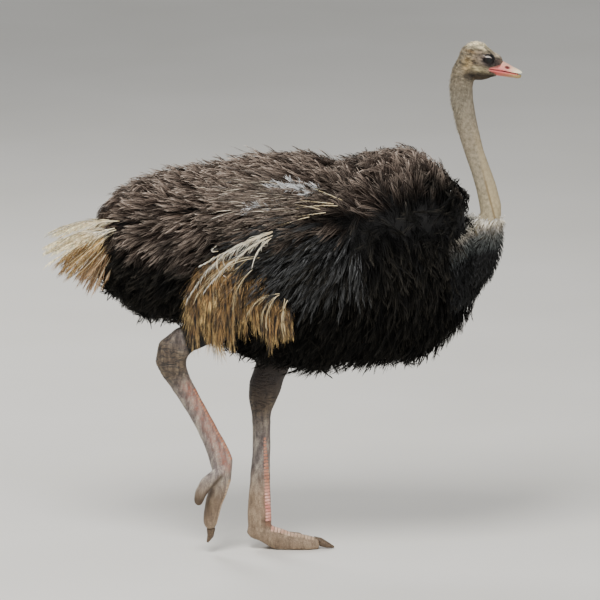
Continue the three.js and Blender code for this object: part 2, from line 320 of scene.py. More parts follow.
shape = bmesh.new()
loops = []
for x in np.linspace(station_x[0] + 0.02, station_x[-1] - 0.02, RINGS):
    ring = bmesh.ops.create_circle(shape, segments=RING_CORNERS, radius=1.0)["verts"]
    for vert, place in zip(ring, core_ring(x)):
        vert.co = place
    loops.append(list({edge for vert in ring for edge in vert.link_edges}))
for first, second in zip(loops, loops[1:]):
    bmesh.ops.bridge_loops(shape, edges=first + second)
bmesh.ops.holes_fill(shape, edges=shape.edges[:], sides=0)
bmesh.ops.recalc_face_normals(shape, faces=shape.faces[:])
core = to_object("core", shape)
print("core", len(core.data.polygons), "faces")

# %% [markdown]
# ## One skin
# Under the feathers a bird is one closed skin, from bill to toes. The construction model parts it
# into nodes, so their copies are grown by a hair until they overlap and a voxel remesh fuses them: it
# builds a new even mesh round everything that is solid, and the joints vanish. Smoothing then takes
# out the flat faces of the model. Head, legs and trunk need different fineness, so each is fused by
# itself, and a boolean union makes them one.

# %% Fusing copies of nodes
def node_copy(name, grow, down=0.0, up=0.0):
    """A bmesh of a CAD node with merged corners, its surface moved out by grow.

    down and up make it longer at its lowest and highest end, so that it reaches into its neighbour.
    """
    shape = bmesh.new()
    shape.from_mesh(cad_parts[name].data)
    bmesh.ops.remove_doubles(shape, verts=shape.verts[:], dist=2e-5)
    shape.normal_update()
    moves = [vert.normal * grow * min(vert.calc_shell_factor(), 2.0) for vert in shape.verts]
    low, high = (corner.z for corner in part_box(name))
    for vert, move in zip(shape.verts, moves):
        stretch = up * (vert.co.z > high - 0.001) - down * (vert.co.z < low + 0.001)
        vert.co += move + UP * stretch
    return shape


def apply_modifiers(piece):
    """Replaces the piece's mesh by what its modifiers make of it."""
    depsgraph = bpy.context.evaluated_depsgraph_get()
    made = bpy.data.meshes.new_from_object(piece.evaluated_get(depsgraph))
    piece.modifiers.clear()
    old = piece.data
    piece.data = made
    bpy.data.meshes.remove(old)


def relax(piece, rounds, chosen=None):
    """Smooths a piece so many times, all of it or only its chosen vertices."""
    shape = bmesh.new()
    shape.from_mesh(piece.data)
    verts = [vert for vert in shape.verts if chosen is None or chosen[vert.index]]
    for _ in range(rounds):
        bmesh.ops.smooth_vert(shape, verts=verts, factor=0.5, use_axis_x=True, use_axis_y=True,
                              use_axis_z=True)
    shape.to_mesh(piece.data)
    shape.free()


def fuse(piece, voxel, rounds):
    """Remeshes a piece evenly and smooths it."""
    modifier = piece.modifiers.new("fuse", "REMESH")
    modifier.mode = "VOXEL"
    modifier.voxel_size = voxel
    apply_modifiers(piece)
    relax(piece, rounds)
    return piece


def union(piece, other, operation="UNION"):
    """Joins another piece to a piece, or cuts it away from it."""
    modifier = piece.modifiers.new("join", "BOOLEAN")
    modifier.operation = operation
    modifier.solver = "MANIFOLD"
    modifier.object = other
    apply_modifiers(piece)
    bpy.data.objects.remove(other)


# %% Reading, moving and finishing a mesh
def triples(values, key):
    """The coordinates or directions of a mesh as an array with three columns."""
    found = np.empty(len(values) * 3, np.float32)
    values.foreach_get(key, found)
    return found.reshape(-1, 3).astype(float)


def coordinates(piece):
    return triples(piece.data.vertices, "co")


def normals(piece):
    return triples(piece.data.vertex_normals, "vector")


def place_at(piece, moved):
    """Puts every vertex of a piece at its new place."""
    piece.data.vertices.foreach_set("co", moved.astype(np.float32).ravel())


def push(piece, amount):
    """Moves every vertex along its normal by its own amount."""
    place_at(piece, coordinates(piece) + normals(piece) * np.asarray(amount)[:, None])
    piece.data.update()


def dress(piece, material, slot, *stands_for):
    """Finishes a piece: its material, the body it rides on and the nodes it replaces. slot is not used."""
    piece.data.materials.clear()
    piece.data.materials.append(material)
    piece.data.polygons.foreach_set("use_smooth", np.ones(len(piece.data.polygons), bool))
    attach(piece, "root")
    if stands_for:
        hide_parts(*stands_for)
    return piece


# %% The legs
SIDES = {"left": 1, "right": -1}
OVERLAP = 0.0005
LEG_PARTS = ("thigh", "shank", "great_toe", "small_toe")
LEG_VOXEL = 0.0044
legs = {}
for side in SIDES:
    legs[side] = to_object(f"leg_{side}", *(node_copy(f"{part}_{side}", OVERLAP) for part in LEG_PARTS))
    fuse(legs[side], LEG_VOXEL, 9)
print("legs", [len(leg.data.polygons) for leg in legs.values()], "faces")

# %% [markdown]
# ## The head
# The head is the part that people look at. Its frame is taken from the eyes: X runs along the skull
# to the bill and Z is up, and both are tilted bill down. The lids are a slightly larger ball over
# each eyeball, opened by an almond-shaped cutter, so they have a real edge for the light to catch.

# %% The head's own frame
HEAD_TILT = math.radians(12)
EYE_FROM_SKULL = Vector((0.028, 0, 0.013))
eye_boxes = {side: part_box(f"eye_{side}") for side in SIDES}
eye_centre = {side: (low + high) / 2 for side, (low, high) in eye_boxes.items()}
EYE_RADIUS = (eye_boxes["left"][1].x - eye_boxes["left"][0].x) / 2
head_turn = Matrix.Rotation(HEAD_TILT, 4, "Y")
skull_centre = (eye_centre["left"] + eye_centre["right"]) / 2 - head_turn @ EYE_FROM_SKULL
head_matrix = Matrix.Translation(skull_centre) @ head_turn
head_inverse = np.array(head_matrix.inverted())


def in_head(place):
    """World places as the head's own x, y and z."""
    return place @ head_inverse[:3, :3].T + head_inverse[:3, 3]


def ball(matrix, radius, segments=32):
    shape = bmesh.new()
    bmesh.ops.create_uvsphere(shape, u_segments=segments, v_segments=segments // 2, radius=radius,
                              matrix=matrix)
    return shape


# %% Skull, lids and upper neck
LID = 0.0022
DOWN_DEPTH = 0.004
BILL_IN_SKIN = 0.150
EYE_OPENING, EYE_DROP = (0.0215, 0.0125), 0.0030
CUTTER_DEPTH = 0.05
LOOK_FORWARD = math.radians(9)
HEAD_VOXEL = 0.00215
NECK_VOXEL = 0.0054
NECK_ROOT = 0.05
COLLAR_DEPTH = 0.014


def bill_core(name):
    """What of a half of the bill lies in the skin, a little thinner than the horn on it."""
    shape = node_copy(name, -0.0018)
    plane = head_matrix @ Vector((BILL_IN_SKIN, 0, 0))
    cut = bmesh.ops.bisect_plane(shape, geom=shape.verts[:] + shape.edges[:] + shape.faces[:], plane_co=plane,
                                 plane_no=head_turn @ Vector((1, 0, 0)), clear_outer=True)
    rim = [item for item in cut["geom_cut"] if isinstance(item, bmesh.types.BMEdge)]
    bmesh.ops.contextual_create(shape, geom=rim)
    bmesh.ops.triangulate(shape, faces=[face for face in shape.faces if len(face.verts) > 4])
    return shape


def flat_side(place):
    """Places with their left and right sides laid on each other, in the head's frame."""
    folded = in_head(place)
    folded[:, 1] = np.abs(folded[:, 1])
    return folded


def bell(distance, width):
    """1 at no distance, falling to nothing beyond the width."""
    return np.exp(-(distance / width) ** 2)


def away(place, centre, weights=(1, 1, 1)):
    """How far places are from a centre, where each axis counts with its own weight."""
    return np.linalg.norm((place - np.array(centre)) * weights, axis=1)


lids = [ball(Matrix.Translation(centre), EYE_RADIUS + LID) for centre in eye_centre.values()]
head = to_object("head_skin", node_copy("head", OVERLAP), node_copy("neck_upper", OVERLAP, down=0.012),
                 bill_core("upper_bill"), bill_core("lower_bill"), *lids)
fuse(head, HEAD_VOXEL, 8)
folded = flat_side(coordinates(head))
near_eye = bell(away(folded, (0.028, 0.040, 0.013), (1, 0.5, 1)), 0.027)
in_bill = np.clip((folded[:, 0] - 0.055) / 0.02, 0, 1)
push(head, -DOWN_DEPTH * (1 - np.maximum(near_eye, in_bill)))


def facing_out(side):
    """The turn that brings a thing's Z axis to the eye's line of sight, out and a little forward."""
    out = SIDES[side]
    return Matrix.Rotation(-LOOK_FORWARD * out, 4, "Z") @ Matrix.Rotation(math.radians(-90 * out), 4, "X")


def almond(side):
    """A cutter with the outline of the open eye, standing out from the eyeball's middle."""
    shape = bmesh.new()
    made = bmesh.ops.create_circle(shape, segments=40, radius=1.0, cap_ends=True)
    wide, tall = EYE_OPENING
    for vert in made["verts"]:
        x, y = vert.co.x, vert.co.y
        point = (1 - abs(x) ** 2.4) ** 0.25 if abs(x) < 1 else 0
        vert.co = Vector((x * wide, y * tall * (0.72 + 0.28 * point) - 0.0012 * (x > 0) * x, 0))
    grown = bmesh.ops.extrude_face_region(shape, geom=shape.faces[:])
    moved = [item for item in grown["geom"] if isinstance(item, bmesh.types.BMVert)]
    bmesh.ops.translate(shape, verts=moved, vec=(0, 0, CUTTER_DEPTH))
    bmesh.ops.recalc_face_normals(shape, faces=shape.faces[:])
    made = to_object("almond", shape)
    drop = Matrix.Translation((0, 0, -EYE_DROP))
    made.data.transform(Matrix.Translation(eye_centre[side]) @ head_turn @ drop @ facing_out(side))
    return made


for side in SIDES:
    union(head, almond(side), "DIFFERENCE")
print("head", len(head.data.polygons), "faces")

neck_foot = node_copy("neck_base", OVERLAP)
for vert in neck_foot.verts:
    if vert.normal.x < -0.5:
        vert.co.x -= NECK_ROOT
neck = to_object("neck", node_copy("neck_lower", OVERLAP, up=0.012), neck_foot)
fuse(neck, NECK_VOXEL, 7)
height = coordinates(neck)[:, 2]
under_down = np.interp(height, [1.24, 1.30], [COLLAR_DEPTH, DOWN_DEPTH])
push(neck, np.interp(height, [1.44, 1.56], [0.0, 0.0012]) - under_down)
meet = coordinates(neck)
meet[:, 0] -= np.interp(meet[:, 2], [1.42, 1.56], [0.0, 0.0032])
place_at(neck, meet)
print("neck", len(neck.data.polygons), "faces")

# %% [markdown]
# ## Folds and openings
# Skin that bends lies in folds. A bird's heel, which people take for a backward knee, is wrapped in
# them, and the ear is an open hole behind the eye. Both are pressed into the finished surface: each
# vertex moves along its normal by an amount that a formula gives for its place.

# %% Folds at the heels, dents of the ears
HEEL_FOLDS = {  # the heel's middle, and the way along the leg
    "left": ((-0.115, 0.036, 0.585), (0.10, 0, 1.0)),
    "right": ((-0.462, -0.095, 0.735), (0.45, 0, 1.0))}
FOLD_SPACING, FOLD_DEPTH, FOLD_REACH = 0.0125, 0.0027, 0.080
HEEL_ROUND, HEEL_PASSES = 0.115, 36


def fold_depth(place, centre, axis):
    """How deep in a fold each place lies, from 0 between folds to -1, less with the way from the heel."""
    from_heel = place - centre
    along = from_heel @ unit(axis)
    wander = 0.35 * np.sin(place[:, 1] * 130 + place[:, 0] * 60) + 0.5 * np.sin(place[:, 0] * 95)
    crease = np.abs(np.sin(np.pi * along / FOLD_SPACING + wander)) ** 0.6 - 1
    return crease * bell(away(place, centre), FOLD_REACH)


for side, leg in legs.items():
    centre, axis = (np.array(v) for v in HEEL_FOLDS[side])
    relax(leg, HEEL_PASSES, away(coordinates(leg), centre) < HEEL_ROUND)
    place = coordinates(leg)
    press = fold_depth(place, centre, axis) * FOLD_DEPTH
    knobs = np.sin(place[:, 0] * 71 + 1) * np.sin(place[:, 1] * 83) * np.sin(place[:, 2] * 64 + 2)
    push(leg, press - 0.0011 + 0.0010 * knobs)

EAR = (-0.044, 0.039, -0.008)
GAPE_CORNER, GAPE_END, GAPE_LEVEL = 0.036, 0.090, -0.0225
NOSTRIL, NOSTRIL_SIZE = (0.104, 0.0175, -0.0065), (0.0080, 0.0060, 0.0036)
folded = flat_side(coordinates(head))
from_ear = away(folded, EAR, (1, 0.6, 0.8))
ear = -0.009 * bell(from_ear, 0.0062) + 0.0016 * bell(from_ear - 0.0105, 0.0035)
brow = 0.0024 * bell(away(folded, (0.030, 0.034, 0.038), (0.35, 1, 1)), 0.010)
cheek = -0.0016 * bell(away(folded, (0.015, 0.042, -0.020), (0.4, 1, 1)), 0.006)
forehead = (-0.0050 * bell(away(folded, (0.024, 0.0, 0.056), (1, 0.6, 1)), 0.026)
            - 0.0045 * bell(away(folded, (0.046, 0.0, 0.042), (1, 0.8, 1)), 0.022))
on_gape = np.clip((folded[:, 0] - GAPE_CORNER) / 0.006, 0, 1)
on_gape *= np.clip((GAPE_END - folded[:, 0]) / 0.004, 0, 1)
lip = folded[:, 2] - GAPE_LEVEL
gape = on_gape * (0.0012 * bell(np.abs(lip) - 0.0042, 0.0028) - 0.0024 * bell(lip, 0.0018))
push(head, ear + brow + cheek + gape + forehead)
print("folds of", FOLD_SPACING * 1000, "mm at the heels")

# %% One closed skin
for piece in (legs["left"], legs["right"], neck, head):
    union(core, piece)
skin = core
skin.name = "skin"
check = bmesh.new()
check.from_mesh(skin.data)
open_edges = sum(1 for edge in check.edges if len(edge.link_faces) != 2)
print("skin", sum(len(f.verts) - 2 for f in check.faces), "triangles,", open_edges, "open edges")
check.free()

# %% [markdown]
# ## The colours of bare skin
# Legs and neck are the same skin, dressed differently. On the legs it is horny and grey with small
# net-like scales, darker at the heel and pink where blood shows through at the front of the shank. On
# the neck it is thin, grey and soft. The scales come from a Voronoi pattern of 5 mm cells, whose edge
# distance gives both the dark net and the bump.

# %% Markings of neck and head
def in_head_frame(tree):
    """Object coordinates in the head's frame, in metres: as they are, folded, and their X and Z.

    Folded lays the left and the right side on each other.
    """
    place = add(tree, "TexCoord", output="Object")
    local = add(tree, "Mapping", {"Vector": place, "Location": skull_centre, "Rotation": (0, HEAD_TILT, 0)},
                vector_type="TEXTURE")
    forward, _, level = add(tree, "SeparateXYZ", {"Vector": local}).node.outputs
    aside = add(tree, "VectorMath", {0: local}, operation="ABSOLUTE", output="Vector")
    aside = add(tree, "SeparateXYZ", {"Vector": aside}, output="Y")
    return local, add(tree, "CombineXYZ", {"X": forward, "Y": aside, "Z": level}), forward, level


def patch_round(tree, folded, centre, size, soft):
    """A mask that is 1 within an egg-shaped patch of the head, on both sides."""
    moved = add(tree, "Mapping", {"Vector": folded, "Location": centre, "Scale": size}, vector_type="TEXTURE")
    from_centre = add(tree, "VectorMath", {0: moved}, operation="LENGTH", output="Value")
    return add(tree, "MapRange", {"Value": from_centre, "From Min": 1 + soft, "From Max": 1 - soft})


MARKINGS = [  # centre in the head's frame, size, softness, colour
    ((-0.022, 0.0, 0.060), (0.054, 0.050, 0.019), 0.75, "#E3D6B2"),
    ((-0.036, 0.036, 0.028), (0.022, 0.030, 0.007), 0.80, "#6E5A3E"),
    ((-0.006, 0.038, 0.016), (0.016, 0.030, 0.022), 0.80, "#8F7F6A"),
    ((-0.044, 0.036, -0.022), (0.013, 0.034, 0.020), 0.95, "#B39A6E"),
    ((-0.022, 0.040, -0.008), (0.006, 0.030, 0.012), 0.80, "#5B4A38"),
    ((0.000, 0.036, -0.030), (0.024, 0.030, 0.010), 0.80, "#A89A76"),
    # Painted shadow: the next two dark patches lie under the jaw.
    ((0.002, 0.020, -0.062), (0.050, 0.060, 0.019), 0.50, "#33281A"),
    ((0.046, 0.020, -0.052), (0.034, 0.050, 0.014), 0.50, "#352A1B"),
    ((0.064, 0.032, 0.006), (0.022, 0.034, 0.016), 0.60, "#46352D"),
    ((0.058, 0.020, 0.030), (0.018, 0.030, 0.007), 0.80, "#C5B59C"),
    ((0.031, 0.044, 0.010), (0.034, 0.040, 0.026), 0.50, "#5C5048"),
    ((0.034, 0.048, 0.009), (0.0300, 0.030, 0.0190), 0.35, "#2E2625"),
    # Painted highlight: a pale arc on the upper lid over the eye.
    ((0.027, 0.048, 0.0245), (0.0175, 0.030, 0.0048), 0.45, "#A79D94"),
]
THROAT_SLOPE, THROAT_START, THROAT_SOFT = 0.26, 1.069, 0.012
WOBBLE = 0.012


def neck_and_head_colour(tree, light, dark):
    """Grey down, darkened up the neck towards the head as painted shade, with the markings of the head laid
    over it one after the other.
    """
    local, folded, _, _ = in_head_frame(tree)
    place, _, _, high = whereabouts(tree)
    drawn = add(tree, "Mapping", {"Vector": local, "Scale": (0.55, 1, 0.55)})
    fleck = add(tree, "TexNoise", {"Vector": drawn, "Scale": mm(7), "Detail": 5.0, "Roughness": 0.65})
    colour = add(tree, "ValToRGB", {"Fac": fleck}, stops=[(0.30, dark), (0.66, light)])
    # Painted shade: the colour grows darker up the neck, most under the head and on the head itself.
    up_it = add(tree, "MapRange", {"Value": high, "From Min": 1.27, "From Max": 1.80})
    under_head_shade = add(tree, "ValToRGB", {"Fac": up_it}, stops=[
        (0.0, "#FFFFFF"), (0.12, "#FFFFFF"), (0.25, "#F2F3FA"), (0.50, "#E0DFE6"), (0.82, "#CFD0DA"),
        (1.0, "#B6B2B2")])
    colour = add(tree, "Mix", {"Factor": 1.0, "A": colour, "B": under_head_shade}, blend_type="MULTIPLY")
    to_front = add(tree, "VectorMath", {0: place, 1: (1, 0, THROAT_SLOPE)}, operation="DOT_PRODUCT",
                   output="Value")
    throat = add(tree, "MapRange", {"Value": to_front, "From Min": THROAT_START,
                                    "From Max": THROAT_START + THROAT_SOFT})
    lower = add(tree, "MapRange", {"Value": high, "From Min": 1.62, "From Max": 1.50, "To Max": 0.38})
    stripe = add(tree, "Math", {0: throat, 1: lower}, operation="MULTIPLY")
    beside = add(tree, "Math", {0: to_front, 1: THROAT_START + 0.004}, operation="SUBTRACT")
    beside = add(tree, "Math", {0: beside}, operation="ABSOLUTE")
    beside = add(tree, "MapRange", {"Value": beside, "From Min": 0.006, "From Max": 0.001})
    near_foot = add(tree, "MapRange", {"Value": high, "From Min": 1.48, "From Max": 1.38, "To Max": 0.85})
    groove = add(tree, "Math", {0: beside, 1: near_foot}, operation="MULTIPLY")
    wobble = add(tree, "TexNoise", {"Vector": place, "Scale": mm(22)}, output="Color")
    wobble = add(tree, "VectorMath", {0: wobble, 1: (WOBBLE,) * 3}, operation="MULTIPLY", output="Vector")
    wobble = add(tree, "VectorMath", {0: folded, 1: wobble}, operation="ADD", output="Vector")
    for mask, paint in ((stripe, "#BDA97F"), (groove, "#7E6A48")):
        colour = add(tree, "Mix", {"Factor": mask, "A": colour, "B": paint})
    for centre, size, soft, paint in MARKINGS:
        centre = tuple(c + WOBBLE / 2 for c in centre)
        mask = patch_round(tree, wobble, centre, size, soft)
        colour = add(tree, "Mix", {"Factor": mask, "A": colour, "B": paint})
    combed = add(tree, "Mapping", {"Vector": local, "Rotation": (0, 0.45, 0), "Scale": (0.35, 1, 1)})
    strands = add(tree, "TexNoise", {"Vector": combed, "Scale": mm(9), "Detail": 4.0, "Roughness": 0.65})
    strands = add(tree, "MapRange", {"Value": strands, "From Min": 0.38, "From Max": 0.60, "To Min": 0.42,
                                     "To Max": 1.62})
    on_head = add(tree, "MapRange", {"Value": high, "From Min": 1.74, "From Max": 1.80})
    strands = add(tree, "Mix", {"Factor": on_head, "A": 1.0, "B": strands}, data_type="FLOAT")
    return add(tree, "HueSaturation", {"Color": colour, "Value": strands})


# %% Skin material
bare_skin, tree, surface = new_material("bare bird skin, scaled on the legs", Roughness=0.58,
                                        Subsurface_Weight=0.05, Subsurface_Radius=(0.006, 0.003, 0.002))
place, forward, _, height = whereabouts(tree)
on_heel, on_shin, worn, gape, mouth, column = (
    add(tree, "Attribute", attribute_name=name, output="Fac")
    for name in ("heel", "flush", "worn", "gape", "mouth", "column"))
stretched = add(tree, "Mapping", {"Vector": place, "Scale": (1, 1, 0.3)})
blotch = add(tree, "TexNoise", {"Vector": stretched, "Scale": mm(19), "Detail": 6.0, "Roughness": 0.68})
across_it = add(tree, "Mapping", {"Vector": place, "Rotation": (0, -0.30, 0), "Scale": (0.45, 0.45, 1.5)})
wrinkle = add(tree, "TexNoise", {"Vector": across_it, "Scale": mm(26), "Detail": 2.5, "Distortion": 0.9})
wrinkle = add(tree, "Math", {0: wrinkle, 1: 0.5}, operation="SUBTRACT")
wrinkle = add(tree, "Math", {0: wrinkle}, operation="ABSOLUTE")
wrinkle = add(tree, "MapRange", {"Value": wrinkle, "From Min": 0.006, "From Max": 0.055})
fine = add(tree, "TexNoise", {"Vector": place, "Scale": mm(9), "Detail": 5.0, "Roughness": 0.6})
net = add(tree, "TexVoronoi", {"Vector": place, "Scale": mm(5.5), "Randomness": 0.8},
          feature="DISTANCE_TO_EDGE")
groove = add(tree, "MapRange", {"Value": net, "From Max": 0.16})
shade = add(tree, "ValToRGB", {"Fac": blotch}, stops=[
    (0.32, "#4B403B"), (0.45, "#786D68"), (0.57, "#A59A8D"), (0.70, "#C6BCAC")])
warm = add(tree, "ValToRGB", {"Fac": blotch}, stops=[(0.32, "#6B5744"), (0.50, "#917A62"), (0.68, "#B39C80")])
low = add(tree, "MapRange", {"Value": height, "From Min": 0.20, "From Max": 0.32})
# The lifted leg is made lighter than the standing one.
lifted_leg_lighter = add(tree, "MapRange", {"Value": forward, "From Min": -0.22, "From Max": -0.18, "To Min": 1.14,
                                "To Max": 0.88})
shade = add(tree, "HueSaturation", {"Color": shade, "Value": lifted_leg_lighter})
leg_colour = add(tree, "Mix", {"Factor": low, "A": warm, "B": shade})
# The net between the scales is darker.
dark_net = add(tree, "MapRange", {"Value": groove, "To Min": 0.6, "To Max": 1.0})
scaled = add(tree, "Mix", {"Factor": 1.0, "A": leg_colour, "B": dark_net}, blend_type="MULTIPLY")

# Laid over the scales: the dark heel with painted shade in its creases, pink where blood shows, painted shade
# of the body on the thigh, worn places with painted shade in the folds of ankle and toes, and near black
# where skin lies under the coat, the plumage's black with painted shade deep in the coat.
heel = add(tree, "MapRange", {"Value": on_heel, "To Max": 0.95})
heel_colour = add(tree, "ValToRGB", {"Fac": blotch}, stops=[
    (0.34, "#33281E"), (0.52, "#5C4C3A"), (0.70, "#8A785E")])
# Painted shade: the creases of the heel are darkened.
crease = add(tree, "MapRange", {"Value": wrinkle, "From Min": 0.90, "From Max": 0.10, "To Max": 0.90})
heel_colour = add(tree, "Mix", {"Factor": crease, "A": heel_colour, "B": "#1D1510"})
blood = add(tree, "MapRange", {"Value": fine, "From Min": 0.3, "From Max": 0.6})
blood = add(tree, "Math", {0: on_shin, 1: blood}, operation="MULTIPLY")
# Painted shade of the body on the upper thigh.
drift = add(tree, "MapRange", {"Value": blotch, "To Min": -0.08, "To Max": 0.08})
shaded = add(tree, "Math", {0: height, 1: drift}, operation="ADD")
shaded = add(tree, "MapRange", {"Value": shaded, "From Min": 0.50, "From Max": 0.64})
thigh_colour = add(tree, "ValToRGB", {"Fac": fine}, stops=[(0.3, "#1D1613"), (0.7, "#3A2F29")])
far_back = add(tree, "MapRange", {"Value": forward, "From Min": -0.34, "From Max": -0.28})
shaded = add(tree, "Math", {0: shaded, 1: far_back}, operation="MULTIPLY")
behind_plumes = add(tree, "MapRange", {"Value": forward, "From Min": -0.42, "From Max": -0.37,
                                       "To Min": -0.06, "To Max": 0.11})
raised = add(tree, "Math", {0: height, 1: behind_plumes}, operation="ADD")
lowered = add(tree, "MapRange", {"Value": forward, "From Min": -0.24, "From Max": -0.20, "To Max": 0.11})
raised = add(tree, "Math", {0: raised, 1: lowered}, operation="SUBTRACT")
# Painted shade: near black where the skin lies under the coat, deep in the black plumage.
under_coat = add(tree, "MapRange", {"Value": raised, "From Min": 0.80, "From Max": 0.84})
hidden = scaled
for mask, paint in ((heel, heel_colour), (blood, "#B0644A"), (shaded, thigh_colour), (worn, "#46341F"),
                    (under_coat, "#0D0B0A")):
    hidden = add(tree, "Mix", {"Factor": mask, "A": hidden, "B": paint})
faced = neck_and_head_colour(tree, "#B3A587", "#7C7159")
# The gape is pink. The dark red of its line and of the nostrils is red flesh with painted shade.
for mask, paint in ((gape, "#E0736C"), (mouth, "#5E1A1C")):
    faced = add(tree, "Mix", {"Factor": mask, "A": faced, "B": paint})
colour = add(tree, "Mix", {"Factor": column, "A": hidden, "B": faced})
dull = add(tree, "MapRange", {"Value": under_coat, "To Min": 0.58, "To Max": 0.95})
folded_up = add(tree, "Math", {0: wrinkle, 1: heel}, operation="MULTIPLY")
folded_up = add(tree, "Math", {0: folded_up, 1: 2.5}, operation="MULTIPLY")
relief = add(tree, "Math", {0: groove, 1: fine}, operation="ADD")
relief = add(tree, "Math", {0: relief, 1: folded_up}, operation="ADD")
bump = add(tree, "Bump", {"Height": relief, "Strength": 0.7, "Distance": 0.0016})
wire(surface, Base_Color=colour, Roughness=dull, Normal=bump)
print("skin material of", len(tree.nodes), "nodes")

# %% Where the skin changes
place = coordinates(skin)
folded = flat_side(place)


def note(mesh, name, values):
    """Stores a number on every vertex for a material to read."""
    layer = mesh.attributes.new(name, "FLOAT", "POINT")
    layer.data.foreach_set("value", np.asarray(values, np.float32))


def from_line(place, start, end):
    """How far places are from the line between two points."""
    start, run = np.array(start), np.array(end) - np.array(start)
    t = np.clip((place - start) @ run / (run @ run), 0, 1)
    return away(place, start + t[:, None] * run)


heels = [bell(away(place, centre), 0.102) for centre, _ in HEEL_FOLDS.values()]
note(skin.data, "heel", np.clip(1.5 * np.maximum(*heels), 0, 1))
lifted = place[(place[:, 0] < -0.335) & (place[:, 2] < 0.40)]
lifted_tip = lifted[lifted[:, 2].argmin()]
# Painted shade: dark lines in the ankle's folds and between the lifted foot's toes, stored with the real wear
# of its toe tip as worn.
ANKLE_FOLDS = [
    ((-0.120, -0.045, 0.115), (-0.075, -0.020, 0.104)), ((-0.130, -0.048, 0.095), (-0.085, -0.035, 0.085))]
BETWEEN_TOES = ((-0.268, 0.0, 0.302), (-0.330, 0.0, 0.222))
folds = [bell(from_line(place, *line), 0.0055) for line in ANKLE_FOLDS]
folds.append(bell(from_line(place * [1, 0, 1], *BETWEEN_TOES), 0.0075))
worn_toe = np.clip(1.5 * bell(away(place, lifted_tip), 0.050), 0, 1)
note(skin.data, "worn", 0.85 * np.maximum(np.max(folds, axis=0), worn_toe))
print("the lifted foot's small toe ends at", lifted_tip.round(3))
SHINS = [  # from, to, reach
    ((-0.080, -0.010, 0.47), (-0.085, -0.022, 0.11), 0.020),
    ((-0.385, -0.125, 0.64), (-0.235, -0.125, 0.33), 0.024)]
flush = [0.65 * bell(from_line(place, start, end), reach) for start, end, reach in SHINS]
note(skin.data, "flush", np.maximum(*flush))
widen = 0.0035 + 0.30 * np.clip(folded[:, 0] - GAPE_CORNER, 0, 0.05)
off_lip = np.abs(folded[:, 2] - GAPE_LEVEL)
inside = np.clip((folded[:, 0] - GAPE_CORNER) / 0.006, 0, 1)
note(skin.data, "gape", np.clip(1.6 - off_lip / widen, 0, 1) * inside)
# Painted shade: a dark red spot at each nostril and a dark red line along the gape.
hole = bell(away(folded, NOSTRIL, (1, 0.7, 1)), 0.012)
note(skin.data, "mouth", np.maximum(np.clip(2.2 - off_lip / 0.0012, 0, 1) * inside, hole))
nape = np.interp(place[:, 2], [1.28, 1.42, 1.56, 1.62], [0.672, 0.645, 0.600, 0.500])
on_column = (np.abs(place[:, 1]) < 0.07) & (place[:, 0] > nape)
note(skin.data, "column", np.clip((place[:, 2] - 1.18) / 0.06, 0, 1) * on_column)
dress(skin, bare_skin, "neck_skin", "trunk", "head", "neck_base", "neck_lower", "neck_upper",
      *(f"{part}_{side}" for part in LEG_PARTS for side in SIDES))
print("skin dressed in", bare_skin.name)

# %% [markdown]
# ## The bill
# Horn grows over both jaws. The model's two halves are copied, fused to a fine even mesh and smoothed,
# which rounds their edges and leaves the gape as a line between them with the red flesh behind. The
# nostrils are cut through the horn, and the hooked nail at the tip is raised by a hair.

# %% Horn of the bill
BILL_VOXEL = 0.0011
NAIL_START, NAIL_LIFT = 0.141, 0.0008
RIDGE_LIFT, GAPE_SINK = 0.0007, 0.0011
JAW_DROP = 0.005


def nostril(out):
    """A cutter for the nostril of the side that lies out along Y."""
    place = head_matrix @ Vector((NOSTRIL[0], out * NOSTRIL[1], NOSTRIL[2]))
    size = Matrix.Diagonal((*NOSTRIL_SIZE, 1))
    slope = Matrix.Rotation(math.radians(-10 * out), 4, "Z") @ Matrix.Rotation(math.radians(14), 4, "Y")
    return to_object("nostril", ball(Matrix.Translation(place) @ head_turn @ slope @ size, 1.0, 24))


bills = {}
for part in ("upper_bill", "lower_bill"):
    horn = fuse(to_object(part + "_horn", node_copy(part, 0.0)), BILL_VOXEL, 6)
    local = in_head(coordinates(horn))
    near_gape = bell(local[:, 2] - GAPE_LEVEL, 0.004)
    nail = NAIL_LIFT * np.clip((local[:, 0] - NAIL_START) / 0.003, 0, 1)
    ridge = RIDGE_LIFT * bell(local[:, 1], 0.003) * (part == "upper_bill")
    push(horn, nail + ridge - GAPE_SINK * near_gape)
    bills[part] = horn
for out in SIDES.values():
    union(bills["upper_bill"], nostril(out), "DIFFERENCE")
local = in_head(coordinates(bills["lower_bill"]))
sink = np.array(head_turn @ Vector((0, 0, -JAW_DROP))) * np.clip((local[:, 0] - 0.08) / 0.07, 0, 1)[:, None]
place_at(bills["lower_bill"], coordinates(bills["lower_bill"]) + sink)
print("bill", [len(horn.data.polygons) for horn in bills.values()], "faces")

# %% [markdown]
# ## Horn in two colours
# Living horn over blood vessels is pink, and it fades to cream where it is thick and dry at the tip.
# It is smooth and a little waxy, with faint lines of growth along it. The head's frame is given to the
# pattern by a Mapping node, which undoes the head's tilt.

